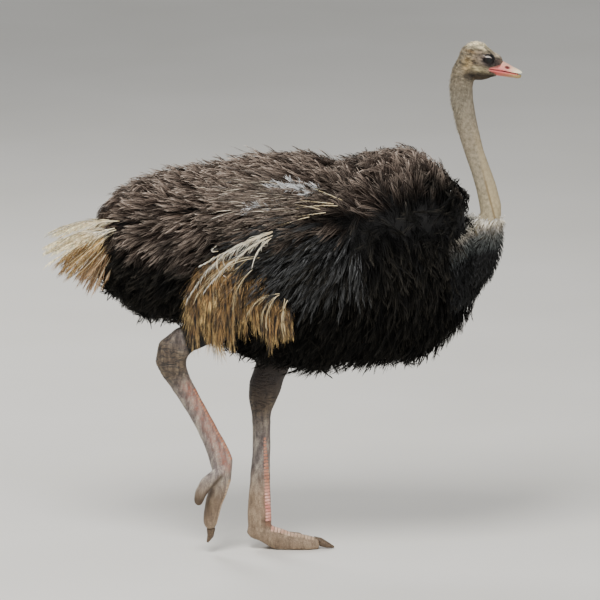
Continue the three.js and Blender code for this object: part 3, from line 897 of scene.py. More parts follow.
# %% Bill material
bill_horn, tree, surface = new_material("bill horn, pink to cream", Roughness=0.38, Coat_Weight=0.15,
                                        Coat_Roughness=0.3, Subsurface_Weight=0.12,
                                        Subsurface_Radius=(0.004, 0.0015, 0.001))
local, folded, forward, level = in_head_frame(tree)
mottle = add(tree, "TexNoise", {"Vector": local, "Scale": mm(12), "Detail": 3.0})
drawn = add(tree, "Mapping", {"Vector": local, "Scale": (0.12, 1, 1)})
lines = add(tree, "TexNoise", {"Vector": drawn, "Scale": mm(2.5), "Detail": 2.0})
shifted = add(tree, "MapRange", {"Value": mottle, "To Min": -0.008, "To Max": 0.008})
reach = add(tree, "Math", {0: forward, 1: shifted}, operation="ADD")
to_tip = add(tree, "MapRange", {"Value": reach, "From Min": 0.07, "From Max": 0.158})
upper = add(tree, "ValToRGB", {"Fac": to_tip}, stops=[
    (0.0, "#D8706A"), (0.40, "#DD9483"), (0.75, "#F3DDB6"), (1.0, "#FFF6D2")])
lower = add(tree, "ValToRGB", {"Fac": to_tip}, stops=[
    (0.0, "#C4524A"), (0.40, "#B0684A"), (0.75, "#A88858"), (1.0, "#988352")])
ridge = add(tree, "MapRange", {"Value": level, "From Min": -0.012, "From Max": 0.006})
is_upper = add(tree, "MapRange", {"Value": level, "From Min": -0.024, "From Max": -0.020})
ridged = add(tree, "Mix", {"Factor": ridge, "A": upper, "B": "#E2AA90"})
horn_colour = add(tree, "Mix", {"Factor": is_upper, "A": lower, "B": ridged})
above_gape = add(tree, "Math", {0: level, 1: -GAPE_LEVEL}, operation="ADD")
off_gape = add(tree, "Math", {0: above_gape}, operation="ABSOLUTE")
from_gape = add(tree, "MapRange", {"Value": off_gape, "From Min": 0.003, "From Max": 0.008})
back = add(tree, "MapRange", {"Value": forward, "From Min": 0.09, "From Max": 0.13})
plain = add(tree, "Math", {0: from_gape, 1: back}, operation="MAXIMUM")
# Dark red along the gape and in the nostrils: red flesh with painted shade in the gap and the holes.
edge = add(tree, "MapRange", {"Value": off_gape, "From Min": 0.0030, "From Max": 0.0014})
hole = patch_round(tree, folded, NOSTRIL, (0.0100, 0.012, 0.0052), 0.30)
flushed = "#DE6466"
for mask, paint in ((plain, horn_colour), (edge, "#6A1F1E"), (hole, "#4A1C1A")):
    flushed = add(tree, "Mix", {"Factor": mask, "A": flushed, "B": paint})
streak = add(tree, "MapRange", {"Value": lines, "To Min": 0.86, "To Max": 1.08})
done = add(tree, "Mix", {"Factor": 1.0, "A": flushed, "B": streak}, blend_type="MULTIPLY")
bump = add(tree, "Bump", {"Height": lines, "Strength": 0.25, "Distance": 0.0006})
wire(surface, Base_Color=done, Normal=bump)
for part, horn in bills.items():
    dress(horn, bill_horn, "bill_horn", part)
print("bill dressed in", bill_horn.name)

# %% [markdown]
# ## The eyes
# An ostrich's eye is 50 mm across, larger than its brain, and nearly all of it lies in the head. The
# ball is turned from a fine sphere whose front is drawn out to a cornea. Iris and pupil are rings
# round the line of sight, and a clear coat gives the wet highlight.

# %% Eyeballs
EYE_SEGMENTS = 64
CORNEA, CORNEA_REACH = 0.0012, 0.012
RINGS_END = 0.024
for side in SIDES:
    gaze = head_turn @ facing_out(side)
    shape = ball(Matrix.Identity(4), EYE_RADIUS, EYE_SEGMENTS)
    for vert in shape.verts:
        if vert.co.z > 0:
            vert.co.z += CORNEA * bell(math.hypot(vert.co.x, vert.co.y), CORNEA_REACH)
    shape.transform(Matrix.Translation(eye_centre[side]) @ gaze)
    glassy, tree, surface = new_material(f"wet eye, {side}", Roughness=0.45, IOR=1.38, Coat_Weight=0.40,
                                         Coat_Roughness=0.50, Specular_IOR_Level=0.2)
    place = add(tree, "TexCoord", output="Object")
    sight = add(tree, "Mapping", {"Vector": place, "Location": eye_centre[side], "Rotation": gaze.to_euler()},
                vector_type="TEXTURE")
    flat = add(tree, "Mapping", {"Vector": sight, "Scale": (1, 1, 0)})
    ring = add(tree, "VectorMath", {0: flat}, operation="LENGTH", output="Value")
    ring = add(tree, "MapRange", {"Value": ring, "From Max": RINGS_END})
    fibre = add(tree, "TexNoise", {"Vector": flat, "Scale": mm(1.5), "Detail": 2.0})
    rings = add(tree, "ValToRGB", {"Fac": ring}, stops=[
        (0.0, "#020101"), (0.40, "#030202"), (0.45, "#120A07"), (0.60, "#170D09"), (0.68, "#080505"),
        (1.0, "#060404")])
    flecks = add(tree, "MapRange", {"Value": fibre, "To Min": 0.6, "To Max": 1.4})
    iris = add(tree, "Mix", {"Factor": 1.0, "A": rings, "B": flecks}, blend_type="MULTIPLY")
    wire(surface, Base_Color=iris)
    dress(to_object(f"eyeball_{side}", shape), glassy, "eye", f"eye_{side}")
print("eyes", EYE_RADIUS * 2000, "mm across")

# %% [markdown]
# ## Claws
# Only the great toe has a claw worth the name, and walking wears it blunt. The copy of the solid is
# fused and smoothed, then given the lengthwise grain of hoof horn.

# %% Claws
claw_horn, tree, surface = new_material("claw horn, worn and dusty", Roughness=0.55)
place = add(tree, "TexCoord", output="Object")
grain = add(tree, "TexNoise", {"Vector": place, "Scale": mm(6), "Detail": 6.0, "Roughness": 0.7})
shade = add(tree, "ValToRGB", {"Fac": grain}, stops=[(0.3, "#332619"), (0.55, "#5E4B38"), (0.75, "#8A7354")])
bump = add(tree, "Bump", {"Height": grain, "Strength": 0.4, "Distance": 0.001})
wire(surface, Base_Color=shade, Normal=bump)
CLAW_GROWTH, CLAW_VOXEL = 0.0006, 0.0018
for side in SIDES:
    claw = fuse(to_object(f"claw_{side}_horn", node_copy(f"claw_{side}", CLAW_GROWTH)), CLAW_VOXEL, 3)
    dress(claw, claw_horn, "claw_horn", f"claw_{side}")
    print(claw.name, len(claw.data.polygons), "faces")

# %% [markdown]
# ## Scutes
# Down the front of the shank and over the toes run broad horny plates, the scutes, each overlapping
# the next like roof tiles. One plate is a small grid laid against the skin: its middle is lifted by
# the plate's thickness, its upper edge sinks under the plate above, and its lower edge stands free.

# %% Plates laid on the skin
skin_tree = BVHTree.FromPolygons([vert.co for vert in skin.data.vertices],
                                 [list(face.vertices) for face in skin.data.polygons])
SCUTE_PITCH, TOE_PITCH = 0.012, 0.013
SCUTE_LIFT, SCUTE_SINK = 0.0014, 0.0012


def lay_plate(shape, aim, across, along, wide, tall):
    """Adds one plate over the skin near aim. along points to the edge that stands free."""
    grid = bmesh.ops.create_grid(shape, x_segments=10, y_segments=5, size=1.0)
    for vert in grid["verts"]:
        u, v = vert.co.x, vert.co.y
        corner = 1 - 0.35 * abs(u) ** 3
        target = aim + across * (u * wide / 2) + along * (v * tall / 2 * corner)
        spot, normal, _, _ = skin_tree.find_nearest(target)
        swell = (1 - abs(u) ** 4) * (0.45 + 0.55 * v) - 1.6 * max(0, v - 0.82) / 0.18
        vert.co = spot + normal * (SCUTE_LIFT * swell - SCUTE_SINK * (abs(u) > 0.95 or v < -0.95 or v > 0.95))


def plate_row(shape, start, end, towards, pitch, wide):
    """Plates from start to end, on the skin that faces towards. wide is given at both ends."""
    start, end, towards = Vector(start), Vector(end), Vector(towards)
    run = end - start
    along = run.normalized()
    across = towards.cross(along).normalized()
    count = round(run.length / pitch)
    for step in range(count):
        t = (step + 0.5) / count
        seen = skin_tree.ray_cast(start + run * t + towards * 0.3, -towards)[0]
        if seen is not None and (seen - (start + run * t)).length < 0.08:
            lay_plate(shape, seen, across, along, wide[0] + (wide[1] - wide[0]) * t, pitch * 1.15)


scutes = bmesh.new()
PLATE_ROWS = [  # start, end, the way they face, pitch, width at both ends
    ((-0.098, 0.004, 0.42), (-0.115, 0.004, 0.108), (0.74, -0.67, 0), SCUTE_PITCH, (0.012, 0.048)),
    ((-0.385, -0.100, 0.62), (-0.255, -0.095, 0.345), (0.86, -0.15, 0.42), SCUTE_PITCH, (0.026, 0.038)),
    ((-0.090, -0.008, 0.060), (0.075, -0.006, 0.025), (0.28, -0.42, 0.86), TOE_PITCH, (0.050, 0.030)),
    ((-0.262, -0.085, 0.29), (-0.300, -0.083, 0.115), (0.90, -0.35, -0.15), TOE_PITCH, (0.044, 0.030)),
]
for row in PLATE_ROWS:
    plate_row(scutes, *row)
scute_horn, tree, surface = new_material("scute horn, flushed pink", Roughness=0.45, Subsurface_Weight=0.08,
                                         Subsurface_Radius=(0.004, 0.0015, 0.001))
place, forward, _, height = whereabouts(tree)
patch = add(tree, "TexNoise", {"Vector": place, "Scale": mm(30), "Detail": 4.0})
pink = add(tree, "ValToRGB", {"Fac": patch}, stops=[(0.3, "#C9776A"), (0.55, "#DCA090"), (0.75, "#E6C0AE")])
dusty = add(tree, "ValToRGB", {"Fac": patch}, stops=[(0.3, "#A08468"), (0.7, "#C6AC90")])
rusty = add(tree, "ValToRGB", {"Fac": patch}, stops=[(0.3, "#97604A"), (0.55, "#B98166"), (0.75, "#BFA083")])
on_toe = add(tree, "MapRange", {"Value": height, "From Min": 0.05, "From Max": 0.11})
above = add(tree, "MapRange", {"Value": height, "From Min": 0.20, "From Max": 0.25})
lifted = add(tree, "MapRange", {"Value": forward, "From Min": -0.20, "From Max": -0.24})
low_down = add(tree, "MapRange", {"Value": height, "From Min": 0.33, "From Max": 0.30})
on_lifted_toe = add(tree, "Math", {0: lifted, 1: low_down}, operation="MULTIPLY")
tones = dusty
for mask, paint in ((on_toe, pink), (above, rusty), (on_lifted_toe, dusty)):
    tones = add(tree, "Mix", {"Factor": mask, "A": tones, "B": paint})
wire(surface, Base_Color=tones)
scute_plates = dress(to_object("scutes", scutes), scute_horn, "leg_skin")
print("scutes", len(scute_plates.data.polygons), "faces")

# %% [markdown]
# ## A plume, many thousand times
# An ostrich feather has a shaft and two rows of barbs that no hooks hold together, so every barb hangs
# by itself and a coat of them looks shaggy. Modelling one and copying it would give a wig of equal
# tufts. Instead the shape is written as a formula with a few measures, and the arrays of all the
# plumes of a region are worked out at once: shaft, barbs, their droop and their taper.
# Each plume also gets its patch on the UV map: a spot at the place of its root.

# %% The plume formula
BAKE_PATCH = 0.003
TWIST = 0.7
SIDE_MARGIN = np.array([0.0, 0.012, 0.0])
LEAST, MOST = np.array(cad_bounds[0]) + SIDE_MARGIN, np.array(cad_bounds[1]) - SIDE_MARGIN


def hold(place):
    """Presses what stands out of the bird's box back towards it."""
    inside = np.clip(place, LEAST, MOST)
    return inside + 0.15 * (place - inside)


def plume_mesh(name, root, lie, out, length, spread, uv, *, width, barbs=12, steps=3, lift=0.3, end_lift=0.0,
               droop=0.25, fan=0.6, messy=0.12, start=0.05, barb_share=0.55, gather=-0.55, shafts=None):
    """A mesh of plumes. Arrays root, lie, out and length have one entry for each plume.

    lie is the way it runs along the body and out is away from the body. spread is how long its side
    barbs are, as a share of its length. lift and end_lift are the angles from the body at which the
    shaft starts and ends, unless shafts gives both directions. fan is the angle at which the barbs
    leave the shaft, gather how far they lean back to it at their tips, and droop pulls them down.
    """
    count = len(root)
    lie = unit(lie - out * np.sum(lie * out, -1, keepdims=True))
    lift = np.broadcast_to(lift, count)[:, None] + rng.normal(0, messy, (count, 1))
    end_lift = np.broadcast_to(end_lift, count)[:, None] + rng.normal(0, messy, (count, 1))
    side = np.cross(out, lie)
    bend = rng.normal(0, messy * 1.3, (count, 1))
    first = unit(lie * np.cos(lift) + out * np.sin(lift) + side * rng.normal(0, messy, (count, 1)))
    last = unit(lie * np.cos(end_lift) + out * np.sin(end_lift) + side * bend)
    if shafts is not None:
        first, last = shafts
    length = np.broadcast_to(length, count)[:, None]

    # Places along the shaft where the barbs leave it, a little different on each plume.
    share = (np.arange(barbs) + 0.5) / barbs
    along = np.clip(start + (0.97 - start) * (share + rng.uniform(-0.5, 0.5, (count, barbs)) / barbs), 0, 1)
    at = along[..., None]
    stem = root[:, None] + length[:, None] * (first[:, None] * at + (last - first)[:, None] * at**2 / 2)
    heading = unit(first[:, None] + (last - first)[:, None] * at)
    across = unit(np.cross(np.broadcast_to(out[:, None], heading.shape), heading))
    hand = np.where(np.arange(barbs) % 2, 1.0, -1.0)[None, :, None]
    angle = (fan * (1 - 0.75 * along) * rng.uniform(0.5, 1.3, (count, barbs)))[..., None]
    rise = rng.normal(0, 0.16, (count, barbs, 1)) + 0.08
    leave = unit(heading * np.cos(angle) + hand * across * np.sin(angle) + out[:, None] * rise)
    fall = np.broadcast_to(droop, count)[:, None, None] * rng.uniform(0.5, 1.5, (count, barbs, 1))
    reach = np.broadcast_to(spread, count)[:, None] * (1 - barb_share * along)
    reach = (reach * rng.uniform(0.6, 1.15, (count, barbs)))[..., None]
    follow = unit(first[:, None] + (last - first)[:, None] * np.minimum(at + reach, 1))
    stray = rng.normal(0, messy, (count, barbs, 3))
    finish = unit(follow * (1 + gather) - leave * gather + np.array([0, 0, -1.0]) * fall * 2 + stray)
    reach = reach * length[:, None]

    # Each barb is a ribbon of quads that tapers to a point.
    t = np.linspace(0, 1, steps + 1)[None, None, :, None]
    leave, turn = leave[:, :, None], (finish - leave)[:, :, None]
    curve = stem[:, :, None] + reach[..., None, :] * (leave * t + turn * t**2 / 2)
    run = unit(leave + turn * t)
    roll = rng.normal(0, TWIST, (count, barbs, 1, 1))
    flat = unit(np.cross(run, np.broadcast_to(out[:, None, None], run.shape)))
    blade = flat * np.cos(roll) + np.cross(run, flat) * np.sin(roll)
    taper = width * (1 - t) ** 0.7 * (0.55 + 0.45 * np.minimum(1, 4 * t + 0.4))
    half = blade * taper / 2
    edges = np.stack([curve - half, curve + half], 3)[:, :, :-1].reshape(count, barbs, -1, 3)
    verts = np.concatenate([edges, curve[:, :, -1:]], 2)
    per_barb = verts.shape[2]
    quads = [[2 * k, 2 * k + 1, 2 * k + 3, 2 * k + 2] for k in range(steps - 1)]
    point = [2 * steps - 2, 2 * steps - 1, 2 * steps]

    share_along = np.concatenate([np.repeat(np.linspace(0, 1, steps + 1)[:-1], 2), [1.0]])
    tone = np.clip(along[..., None] * 0.45 + share_along * 0.55, 0, 1)
    tint = np.broadcast_to(rng.uniform(0, 1, (count, 1, 1)), tone.shape)
    strand = np.broadcast_to(rng.uniform(0, 1, (count, barbs, 1)), tone.shape)
    spot = uv[:, None, None, :] + BAKE_PATCH * np.stack(
        [np.broadcast_to((np.arange(barbs) + 0.5)[None, :, None] / barbs - 0.5, tone.shape), tone - 0.5], -1)
    return ribbons_to_object(name, hold(verts.reshape(-1, 3)), per_barb, quads, point,
                             {"tone": tone.ravel(), "tint": tint.ravel(), "strand": strand.ravel()},
                             spot.reshape(-1, 2))


def ribbons_to_object(name, verts, per_ribbon, quads, point, attributes, spot):
    """One joined mesh from equal ribbons, given the faces of the first."""
    ribbons = len(verts) // per_ribbon
    base = (np.arange(ribbons) * per_ribbon)[:, None]
    loops = np.array([i for quad in quads for i in quad] + point)
    loop_index = (base + loops).ravel()
    sizes = np.array([4] * len(quads) + [3])
    starts = np.concatenate([[0], np.cumsum(sizes)[:-1]])
    mesh = bpy.data.meshes.new(name)
    mesh.vertices.add(len(verts))
    mesh.vertices.foreach_set("co", verts.astype(np.float32).ravel())
    mesh.loops.add(len(loop_index))
    mesh.loops.foreach_set("vertex_index", loop_index.astype(np.int32))
    mesh.polygons.add(ribbons * len(sizes))
    loop_start = (np.arange(ribbons)[:, None] * len(loops) + starts).ravel()
    mesh.polygons.foreach_set("loop_start", loop_start.astype(np.int32))
    mesh.update(calc_edges=True)
    for key, values in attributes.items():
        note(mesh, key, values)
    layer = mesh.uv_layers.new(name="OFBake")
    layer.uv.foreach_set("vector", spot[loop_index].astype(np.float32).ravel())
    mesh.validate()
    print(name, len(mesh.polygons), "faces,", ribbons * int(sum(sizes - 2)), "triangles")
    return link(name, mesh)


# %% [markdown]
# ## Where the roots lie
# Feathers are rooted on the skin, so the roots are strewn over its triangles, each by its area, and
# thinned to one for each cell of a fine grid. How deep the coat is at a root is measured there: it is
# the way out to the construction solids, which a feather's tip has to reach.

# %% Roots on the skin
skin.data.calc_loop_triangles()
corners = np.empty(len(skin.data.loop_triangles) * 3, np.int32)
skin.data.loop_triangles.foreach_get("vertices", corners)
corners = corners.reshape(-1, 3)
skin_place, skin_out = coordinates(skin)[corners], normals(skin)[corners]
skin_edges = skin_place[:, 1:] - skin_place[:, :1]
skin_area = np.linalg.norm(np.cross(skin_edges[:, 0], skin_edges[:, 1]), axis=1)
skin_middle, skin_facing = skin_place.mean(1), unit(skin_out.mean(1))


TRIES = 3.5  # for each cell of the grid


def strew(gap, rule):
    """Roots about gap apart where rule(place, out) holds, and the skin's outward direction there."""
    area = np.where(rule(skin_middle, skin_facing), skin_area, 0)
    tries = int(area.sum() / 2 / gap**2 * TRIES)
    pick = rng.choice(len(area), tries, p=area / area.sum())
    share = rng.dirichlet((1, 1, 1), tries)[:, :, None]
    place, out = (skin_place[pick] * share).sum(1), unit((skin_out[pick] * share).sum(1))
    _, first = np.unique(np.floor(place / gap).astype(int), axis=0, return_index=True)
    place, out = place[first], out[first]
    kept = rule(place, out)
    return place[kept], out[kept]


REACH_OUT = 0.12


def way_out(place, out, solids):
    """How far a solid's surface is from each root, straight out, or 0 for a root outside the solid."""
    found = []
    for spot, towards in zip(place, out):
        exits = [0.0]
        for solid in solids:
            _, facing, _, distance = solid.ray_cast(Vector(spot), Vector(towards), REACH_OUT)
            if facing is not None and facing.dot(Vector(towards)) > 0:
                exits.append(distance)
        found.append(max(exits))
    return np.array(found)


BODY_MIDDLE = (0, 0, 1.1)


def unwrap(place, axis, centre):
    """A root's spot on an unwrap of the skin, round an axis (0 for X, 2 for Z) and along it."""
    across = place - centre
    turn = np.arctan2(across[:, 1], across[:, 2 - axis])
    along = (place[:, axis] - place[:, axis].min()) / np.ptp(place[:, axis])
    return np.stack([0.02 + 0.96 * (turn / (2 * np.pi) + 0.5), 0.02 + 0.96 * along], -1)


# %% [markdown]
# ## How the plumage lies
# Feathers lie in tracts. On this bird they rise over the back, part at the shoulder, curl forward over
# it, stream back along the wing, and hang from breast and belly. A chart like a map of winds says for
# a net of places on the side which way the coat runs, and every root reads its direction between the
# four nearest ones. An angle counts from straight back: 90 is straight down and -90 is straight up.

# %% The chart of the coat
CHART_X = (-0.71, -0.57, -0.42, -0.27, -0.12, 0.03, 0.14, 0.20, 0.26, 0.40, 0.51, 0.62, 0.72)
CHART_Z = (1.50, 1.44, 1.39, 1.34, 1.29, 1.23, 1.17, 1.10, 1.03, 0.95, 0.87, 0.78)
CHART = np.array([
    (-30, -30, -28, -25, -25, -32, -40, -45, -45, -38, -40, -100, -110),
    (-30, -28, -25, -24, -24, -34, -44, -50, -62, -70, -72, -108, -110),
    (-15, -30, -42, -26, -18, -34, -32, -46, -75, -88, -86, -105, -105),
    (-9, -32, -39, 0, 1, 2, -18, -36, -60, -90, -98, -108, -100),
    (12, -20, 15, 28, 19, 12, 4, -10, -55, -78, -105, -118, 60),
    (30, 26, 42, 33, 21, 28, 25, 30, 120, 108, 90, 90, 50),
    (50, 36, 50, 30, 36, 31, 46, 60, 104, 99, 92, 80, 50),
    (65, 42, 50, 36, 45, 36, 62, 82, 95, 84, 92, 90, 52),
    (80, 60, 58, 60, 55, 46, 55, 65, 70, 76, 92, 90, 60),
    (80, 75, 70, 75, 68, 63, 75, 62, 60, 78, 97, 80, 70),
    (80, 88, 90, 85, 78, 82, 88, 70, 62, 66, 90, 65, 60),
    (80, 80, 80, 75, 60, 62, 55, 48, 50, 60, 55, 50, 50)])
CHART_BLUR = 0.028
TIP_UNDER, TIP_OVER, STRAY = -0.014, 0.004, 0.014
# How long the plumes are at some places of the side, and how much they stand off the body at the tip: a
# high spike makes a plume curve away, and a low one makes it curl back.
SPIKES = np.array([  # x, z, length, spike
    (-0.65, 1.36, .115, .75), (-0.48, 1.42, .115, .80), (-0.28, 1.44, .120, .80), (-0.03, 1.47, .130, .70),
    (0.14, 1.48, .140, .55), (0.245, 1.47, .070, .25), (0.33, 1.47, .150, .60), (0.45, 1.46, .150, .50),
    (0.58, 1.37, .110, .50), (0.65, 1.31, .070, .60), (0.30, 1.36, .180, .25), (0.47, 1.34, .180, .25),
    (-0.28, 1.34, .125, .50),
    (-0.60, 1.25, .135, .60), (0.00, 1.36, .180, .25), (0.00, 1.15, .160, .20), (-0.40, 1.15, .155, .40),
    (0.35, 1.10, .170, .15), (0.57, 1.20, .110, .25), (0.55, 1.00, .140, .20), (0.60, 0.87, .120, .40),
    (0.30, 0.78, .150, .50), (0.00, 0.79, .150, .60), (-0.45, 0.95, .150, .40), (-0.67, 1.14, .130, .50),
    (0.70, 1.16, .060, .30), (0.75, 1.08, .050, .30)])
SPIKE_REACH = 0.10
UNREST, LOCK = 0.30, 0.055
coat_solids = [tree_of(name) for name in ("trunk", "wing_left", "wing_right", "neck_base")]


def swirl(place, seed):
    """A smooth unrest, so that neighbours lean together in locks about LOCK across."""
    phase = np.random.default_rng(seed + 40).uniform(0, 6.28, (5, 4))
    total = 0
    for a, b, c, d in phase:
        direction = unit(np.array([math.cos(a), math.cos(b), math.cos(c)]))
        total = total + np.sin(place @ direction * 2 * np.pi / (LOCK * (0.7 + 0.2 * d)) + a * 3)
    return total / 2.2


def swirls(place, *seeds):
    """A direction of unrest for each place."""
    return np.stack([swirl(place, seed) for seed in seeds], -1)


def chart_direction(place):
    """The direction the chart gives, between the four places round each root, blurred at its partings."""
    place = place + rng.normal(0, CHART_BLUR, place.shape)
    angle = np.radians(CHART)
    arrow = np.stack([-np.cos(angle), np.zeros_like(angle), -np.sin(angle)], -1)
    column = np.interp(place[:, 0], CHART_X, np.arange(len(CHART_X)))
    row = np.interp(-place[:, 2], -np.array(CHART_Z), np.arange(len(CHART_Z)))
    left = np.minimum(column.astype(int), len(CHART_X) - 2)
    above = np.minimum(row.astype(int), len(CHART_Z) - 2)
    u, v = (column - left)[:, None], (row - above)[:, None]
    return ((arrow[above, left] * (1 - u) + arrow[above, left + 1] * u) * (1 - v)
            + (arrow[above + 1, left] * (1 - u) + arrow[above + 1, left + 1] * u) * v)


def lie_of(place, out):
    """The direction, length and spike of the coat at each place.

    At a parting the chart's directions cancel out, and there the plumes stand away from the body.
    """
    off = np.linalg.norm(place[:, None, [0, 2]] - SPIKES[None, :, :2], axis=2)
    weight = bell(off, SPIKE_REACH) + 1e-6 / (off + 0.01) ** 4
    weight /= weight.sum(1, keepdims=True)
    arrow = chart_direction(place)
    standing = out * (1 - np.linalg.norm(arrow, axis=1, keepdims=True))
    towards = unit(arrow + standing + UNREST * swirls(place, 0, 1, 2))
    return towards, weight @ SPIKES[:, 2], weight @ SPIKES[:, 3]


def beyond(place, solids):
    """How far each place is outside the solids, less than 0 within them."""
    found = []
    for spot in place:
        spot = Vector(spot)
        near = min(solid.find_nearest(spot)[3] for solid in solids)
        hits = [solid.ray_cast(spot, Vector((0, 0, 1)))[1] for solid in solids]
        found.append(-near if any(facing is not None and facing.z > 0 for facing in hits) else near)
    return np.array(found)


HOLLOWS = [  # x, z, reach, how far the coat stays under the construction solid
    (0.215, 1.450, 0.045, 0.090), (0.600, 1.400, 0.045, 0.035), (0.640, 1.350, 0.040, 0.040),
    (-0.710, 1.200, 0.095, 0.075)]


def hollow(place):
    """How much lower the coat is at each place than the construction solid."""
    total = 0
    for x, z, reach, depth in HOLLOWS:
        total = total + depth * np.exp(-((place[:, 0] - x) ** 2 + (place[:, 2] - z) ** 2) / reach**2)
    return total


# Plumes that overhang the collar, or that still stand out too far, are cut short to these shares.
OVER_COLLAR, OVERHANG, OVERHANG_SHARE = (0.640, 1.270), 0.020, 0.55
OUTLIER, OUTLIER_SHARE = 0.055, 0.3
PARTINGS = [  # x, z, radius, each free of tips
    (0.715, 1.262, 0.050), (0.718, 1.310, 0.068), (0.725, 1.370, 0.078), (0.215, 1.502, 0.036)]
RAGGED_LOW, RAGGED = 0.014, 0.003
AIMINGS = 4


def in_parting(tip):
    """Whether a tip lies where the coat parts, seen a little from above."""
    seen = np.stack([tip[:, 0], tip[:, 2] - 0.21 * np.abs(tip[:, 1])], -1)
    return np.any([np.linalg.norm(seen - [x, z], axis=1) < radius for x, z, radius in PARTINGS], axis=0)


def coat(name, gap, rule, material, slot="plumage_black", lie=lie_of, longer=1.0, proud=0.0, parted=True, *,
         spread, **shape):
    """A region of the coat, whose tips reach the construction solids.

    A plume's tip is first put at the solid's height over its root. Where the body curves away under
    it, the tip is then too far out, so it is measured there and lowered, a few times over. parted
    leaves out the plumes whose tips would close one of the coat's partings. lie gives the direction,
    length and spike of each plume, longer is a factor on the length, and proud is how far the tips
    stand out of the solid.
    """
    place, out = strew(gap, rule)
    depth = way_out(place, out, coat_solids)
    place, out, depth = place[depth > 0], out[depth > 0], depth[depth > 0]
    towards, length, spike = lie(place, out)
    length = length * longer * rng.uniform(0.82, 1.2, len(place))
    into = np.sum(towards * out, axis=1)
    along = towards - out * into[:, None]
    flat = np.linalg.norm(along, axis=1) < 0.2
    along[flat] += [-0.3, 0, 0]
    along = unit(along - out * np.sum(along * out, -1, keepdims=True))
    stray = STRAY * np.interp(place[:, 2], [1.10, 1.30], [0.3, 1.0]) * (rng.random(len(place)) < 0.15)
    ragged = np.interp(place[:, 2], [0.90, 1.10], [RAGGED_LOW, RAGGED]) * swirl(place, 11)
    aim = proud + rng.uniform(TIP_UNDER, TIP_OVER, len(place)) + stray - hollow(place) + ragged
    climb = np.clip(2 * depth / length, 0, 1.8)
    most = np.minimum(climb + 0.25, 1.8)
    for turn in range(AIMINGS):
        start = np.clip(np.maximum(climb * (1 - spike), into), -0.3, 0.95)
        finish = np.clip(climb - start, -0.9, 0.95)
        rise, run = start + finish, np.sqrt(1 - start**2) + np.sqrt(1 - finish**2)
        tip = place + (length / 2)[:, None] * (out * rise[:, None] + along * run[:, None])
        if turn < AIMINGS - 1:
            climb = np.clip(climb + 1.6 * (aim - beyond(tip, coat_solids)) / length, -0.6, most)
    kept = ~(in_parting(tip) & parted)
    overhang = (np.linalg.norm(place[:, ::2] - OVER_COLLAR, axis=1) < OVERHANG) & parted
    length = np.where(overhang, OVERHANG_SHARE * length, length)
    length = np.where(beyond(tip, coat_solids) > OUTLIER, OUTLIER_SHARE * length, length)
    place, along, out, length, start, finish = (a[kept] for a in (place, along, out, length, start, finish))
    made = plume_mesh(name, place, along, out, length, spread, unwrap(place, 0, BODY_MIDDLE),
                      lift=np.arcsin(start), end_lift=np.arcsin(finish), **shape)
    return dress(made, material, slot)


# %% [markdown]
# ## The plumage's colours
# A cock's body is black, but new black feathers fade to a brown taupe where the sun reaches them, on
# the back and the shoulders. Tips are paler than roots, and no two feathers have quite the same tone.
# The colour follows the height on the bird and a slow noise, so that it drifts over the body.

# %% Plumage material
def plumage_tones(tree, low=0.35, high=1.80):
    """The tone along a plume, and a brightness of its own for each plume and barb."""
    tone, tint, strand = (add(tree, "Attribute", attribute_name=name, output="Fac")
                          for name in ("tone", "tint", "strand"))
    both = add(tree, "Math", {0: tint, 1: strand}, operation="ADD")
    bright = add(tree, "MapRange", {"Value": both, "From Min": 0.2, "From Max": 1.8, "To Min": low,
                                    "To Max": high})
    return tone, bright


def plumage(name, stops, low=0.35, high=1.80, **shader):
    """A material of feathers whose colour only changes from root to tip."""
    material, tree, surface = new_material(name, **shader)
    tone, bright = plumage_tones(tree, low, high)
    shade = add(tree, "ValToRGB", {"Fac": tone}, stops=stops)
    wire(surface, Base_Color=add(tree, "HueSaturation", {"Color": shade, "Value": bright}))
    return material


body_plumage, tree, surface = new_material("loose body plumage, black fading to taupe", Roughness=0.60,
                                           Specular_IOR_Level=0.08)
tone, bright = plumage_tones(tree)
place, forward, _, height = whereabouts(tree)
front = add(tree, "MapRange", {"Value": forward, "From Min": -0.5, "From Max": 0.6, "To Min": 0.10,
                               "To Max": -0.20})
level = add(tree, "Math", {0: height, 1: drifting(tree, place, 110, 0.09)}, operation="ADD")
level = add(tree, "Math", {0: level, 1: front}, operation="ADD")
faded = add(tree, "MapRange", {"Value": level, "From Min": 1.17, "From Max": 1.41})
# Painted shade: the black grows darker down the body towards the belly.
lower_body_shade = add(tree, "MapRange", {"Value": height, "From Min": 0.80, "From Max": 1.15, "To Min": 0.35})
black = add(tree, "ValToRGB", {"Fac": tone}, stops=[(0.0, "#020202"), (0.50, "#0E0D0B"), (1.0, "#3A362F")])
black = add(tree, "Mix", {"Factor": 1.0, "A": black, "B": lower_body_shade}, blend_type="MULTIPLY")
taupe = add(tree, "ValToRGB", {"Fac": tone}, stops=[
    (0.0, "#0A0807"), (0.35, "#3A2F28"), (0.70, "#8D7D70"), (1.0, "#D2C4B4")])
mixed = add(tree, "Mix", {"Factor": faded, "A": black, "B": taupe})
wire(surface, Base_Color=add(tree, "HueSaturation", {"Color": mixed, "Value": bright}))
print("plumage material of", len(tree.nodes), "nodes")

# %% The coat of the body
RUMP_END, BACK_END = -0.28, 0.21
COAT_LOW, BELLY_TOP, BREAST_TOP, SHOULDER_TOP = 0.66, 1.14, 1.16, 1.50
COLLAR_START = 0.570


def at_collar(place, out):
    """The foot of the neck, below a line that rises forwards."""
    under_neck = place[:, 2] < 1.193 + 0.7 * (place[:, 0] - COLLAR_START)
    return (place[:, 0] >= COLLAR_START) & (place[:, 2] > 0.98) & under_neck


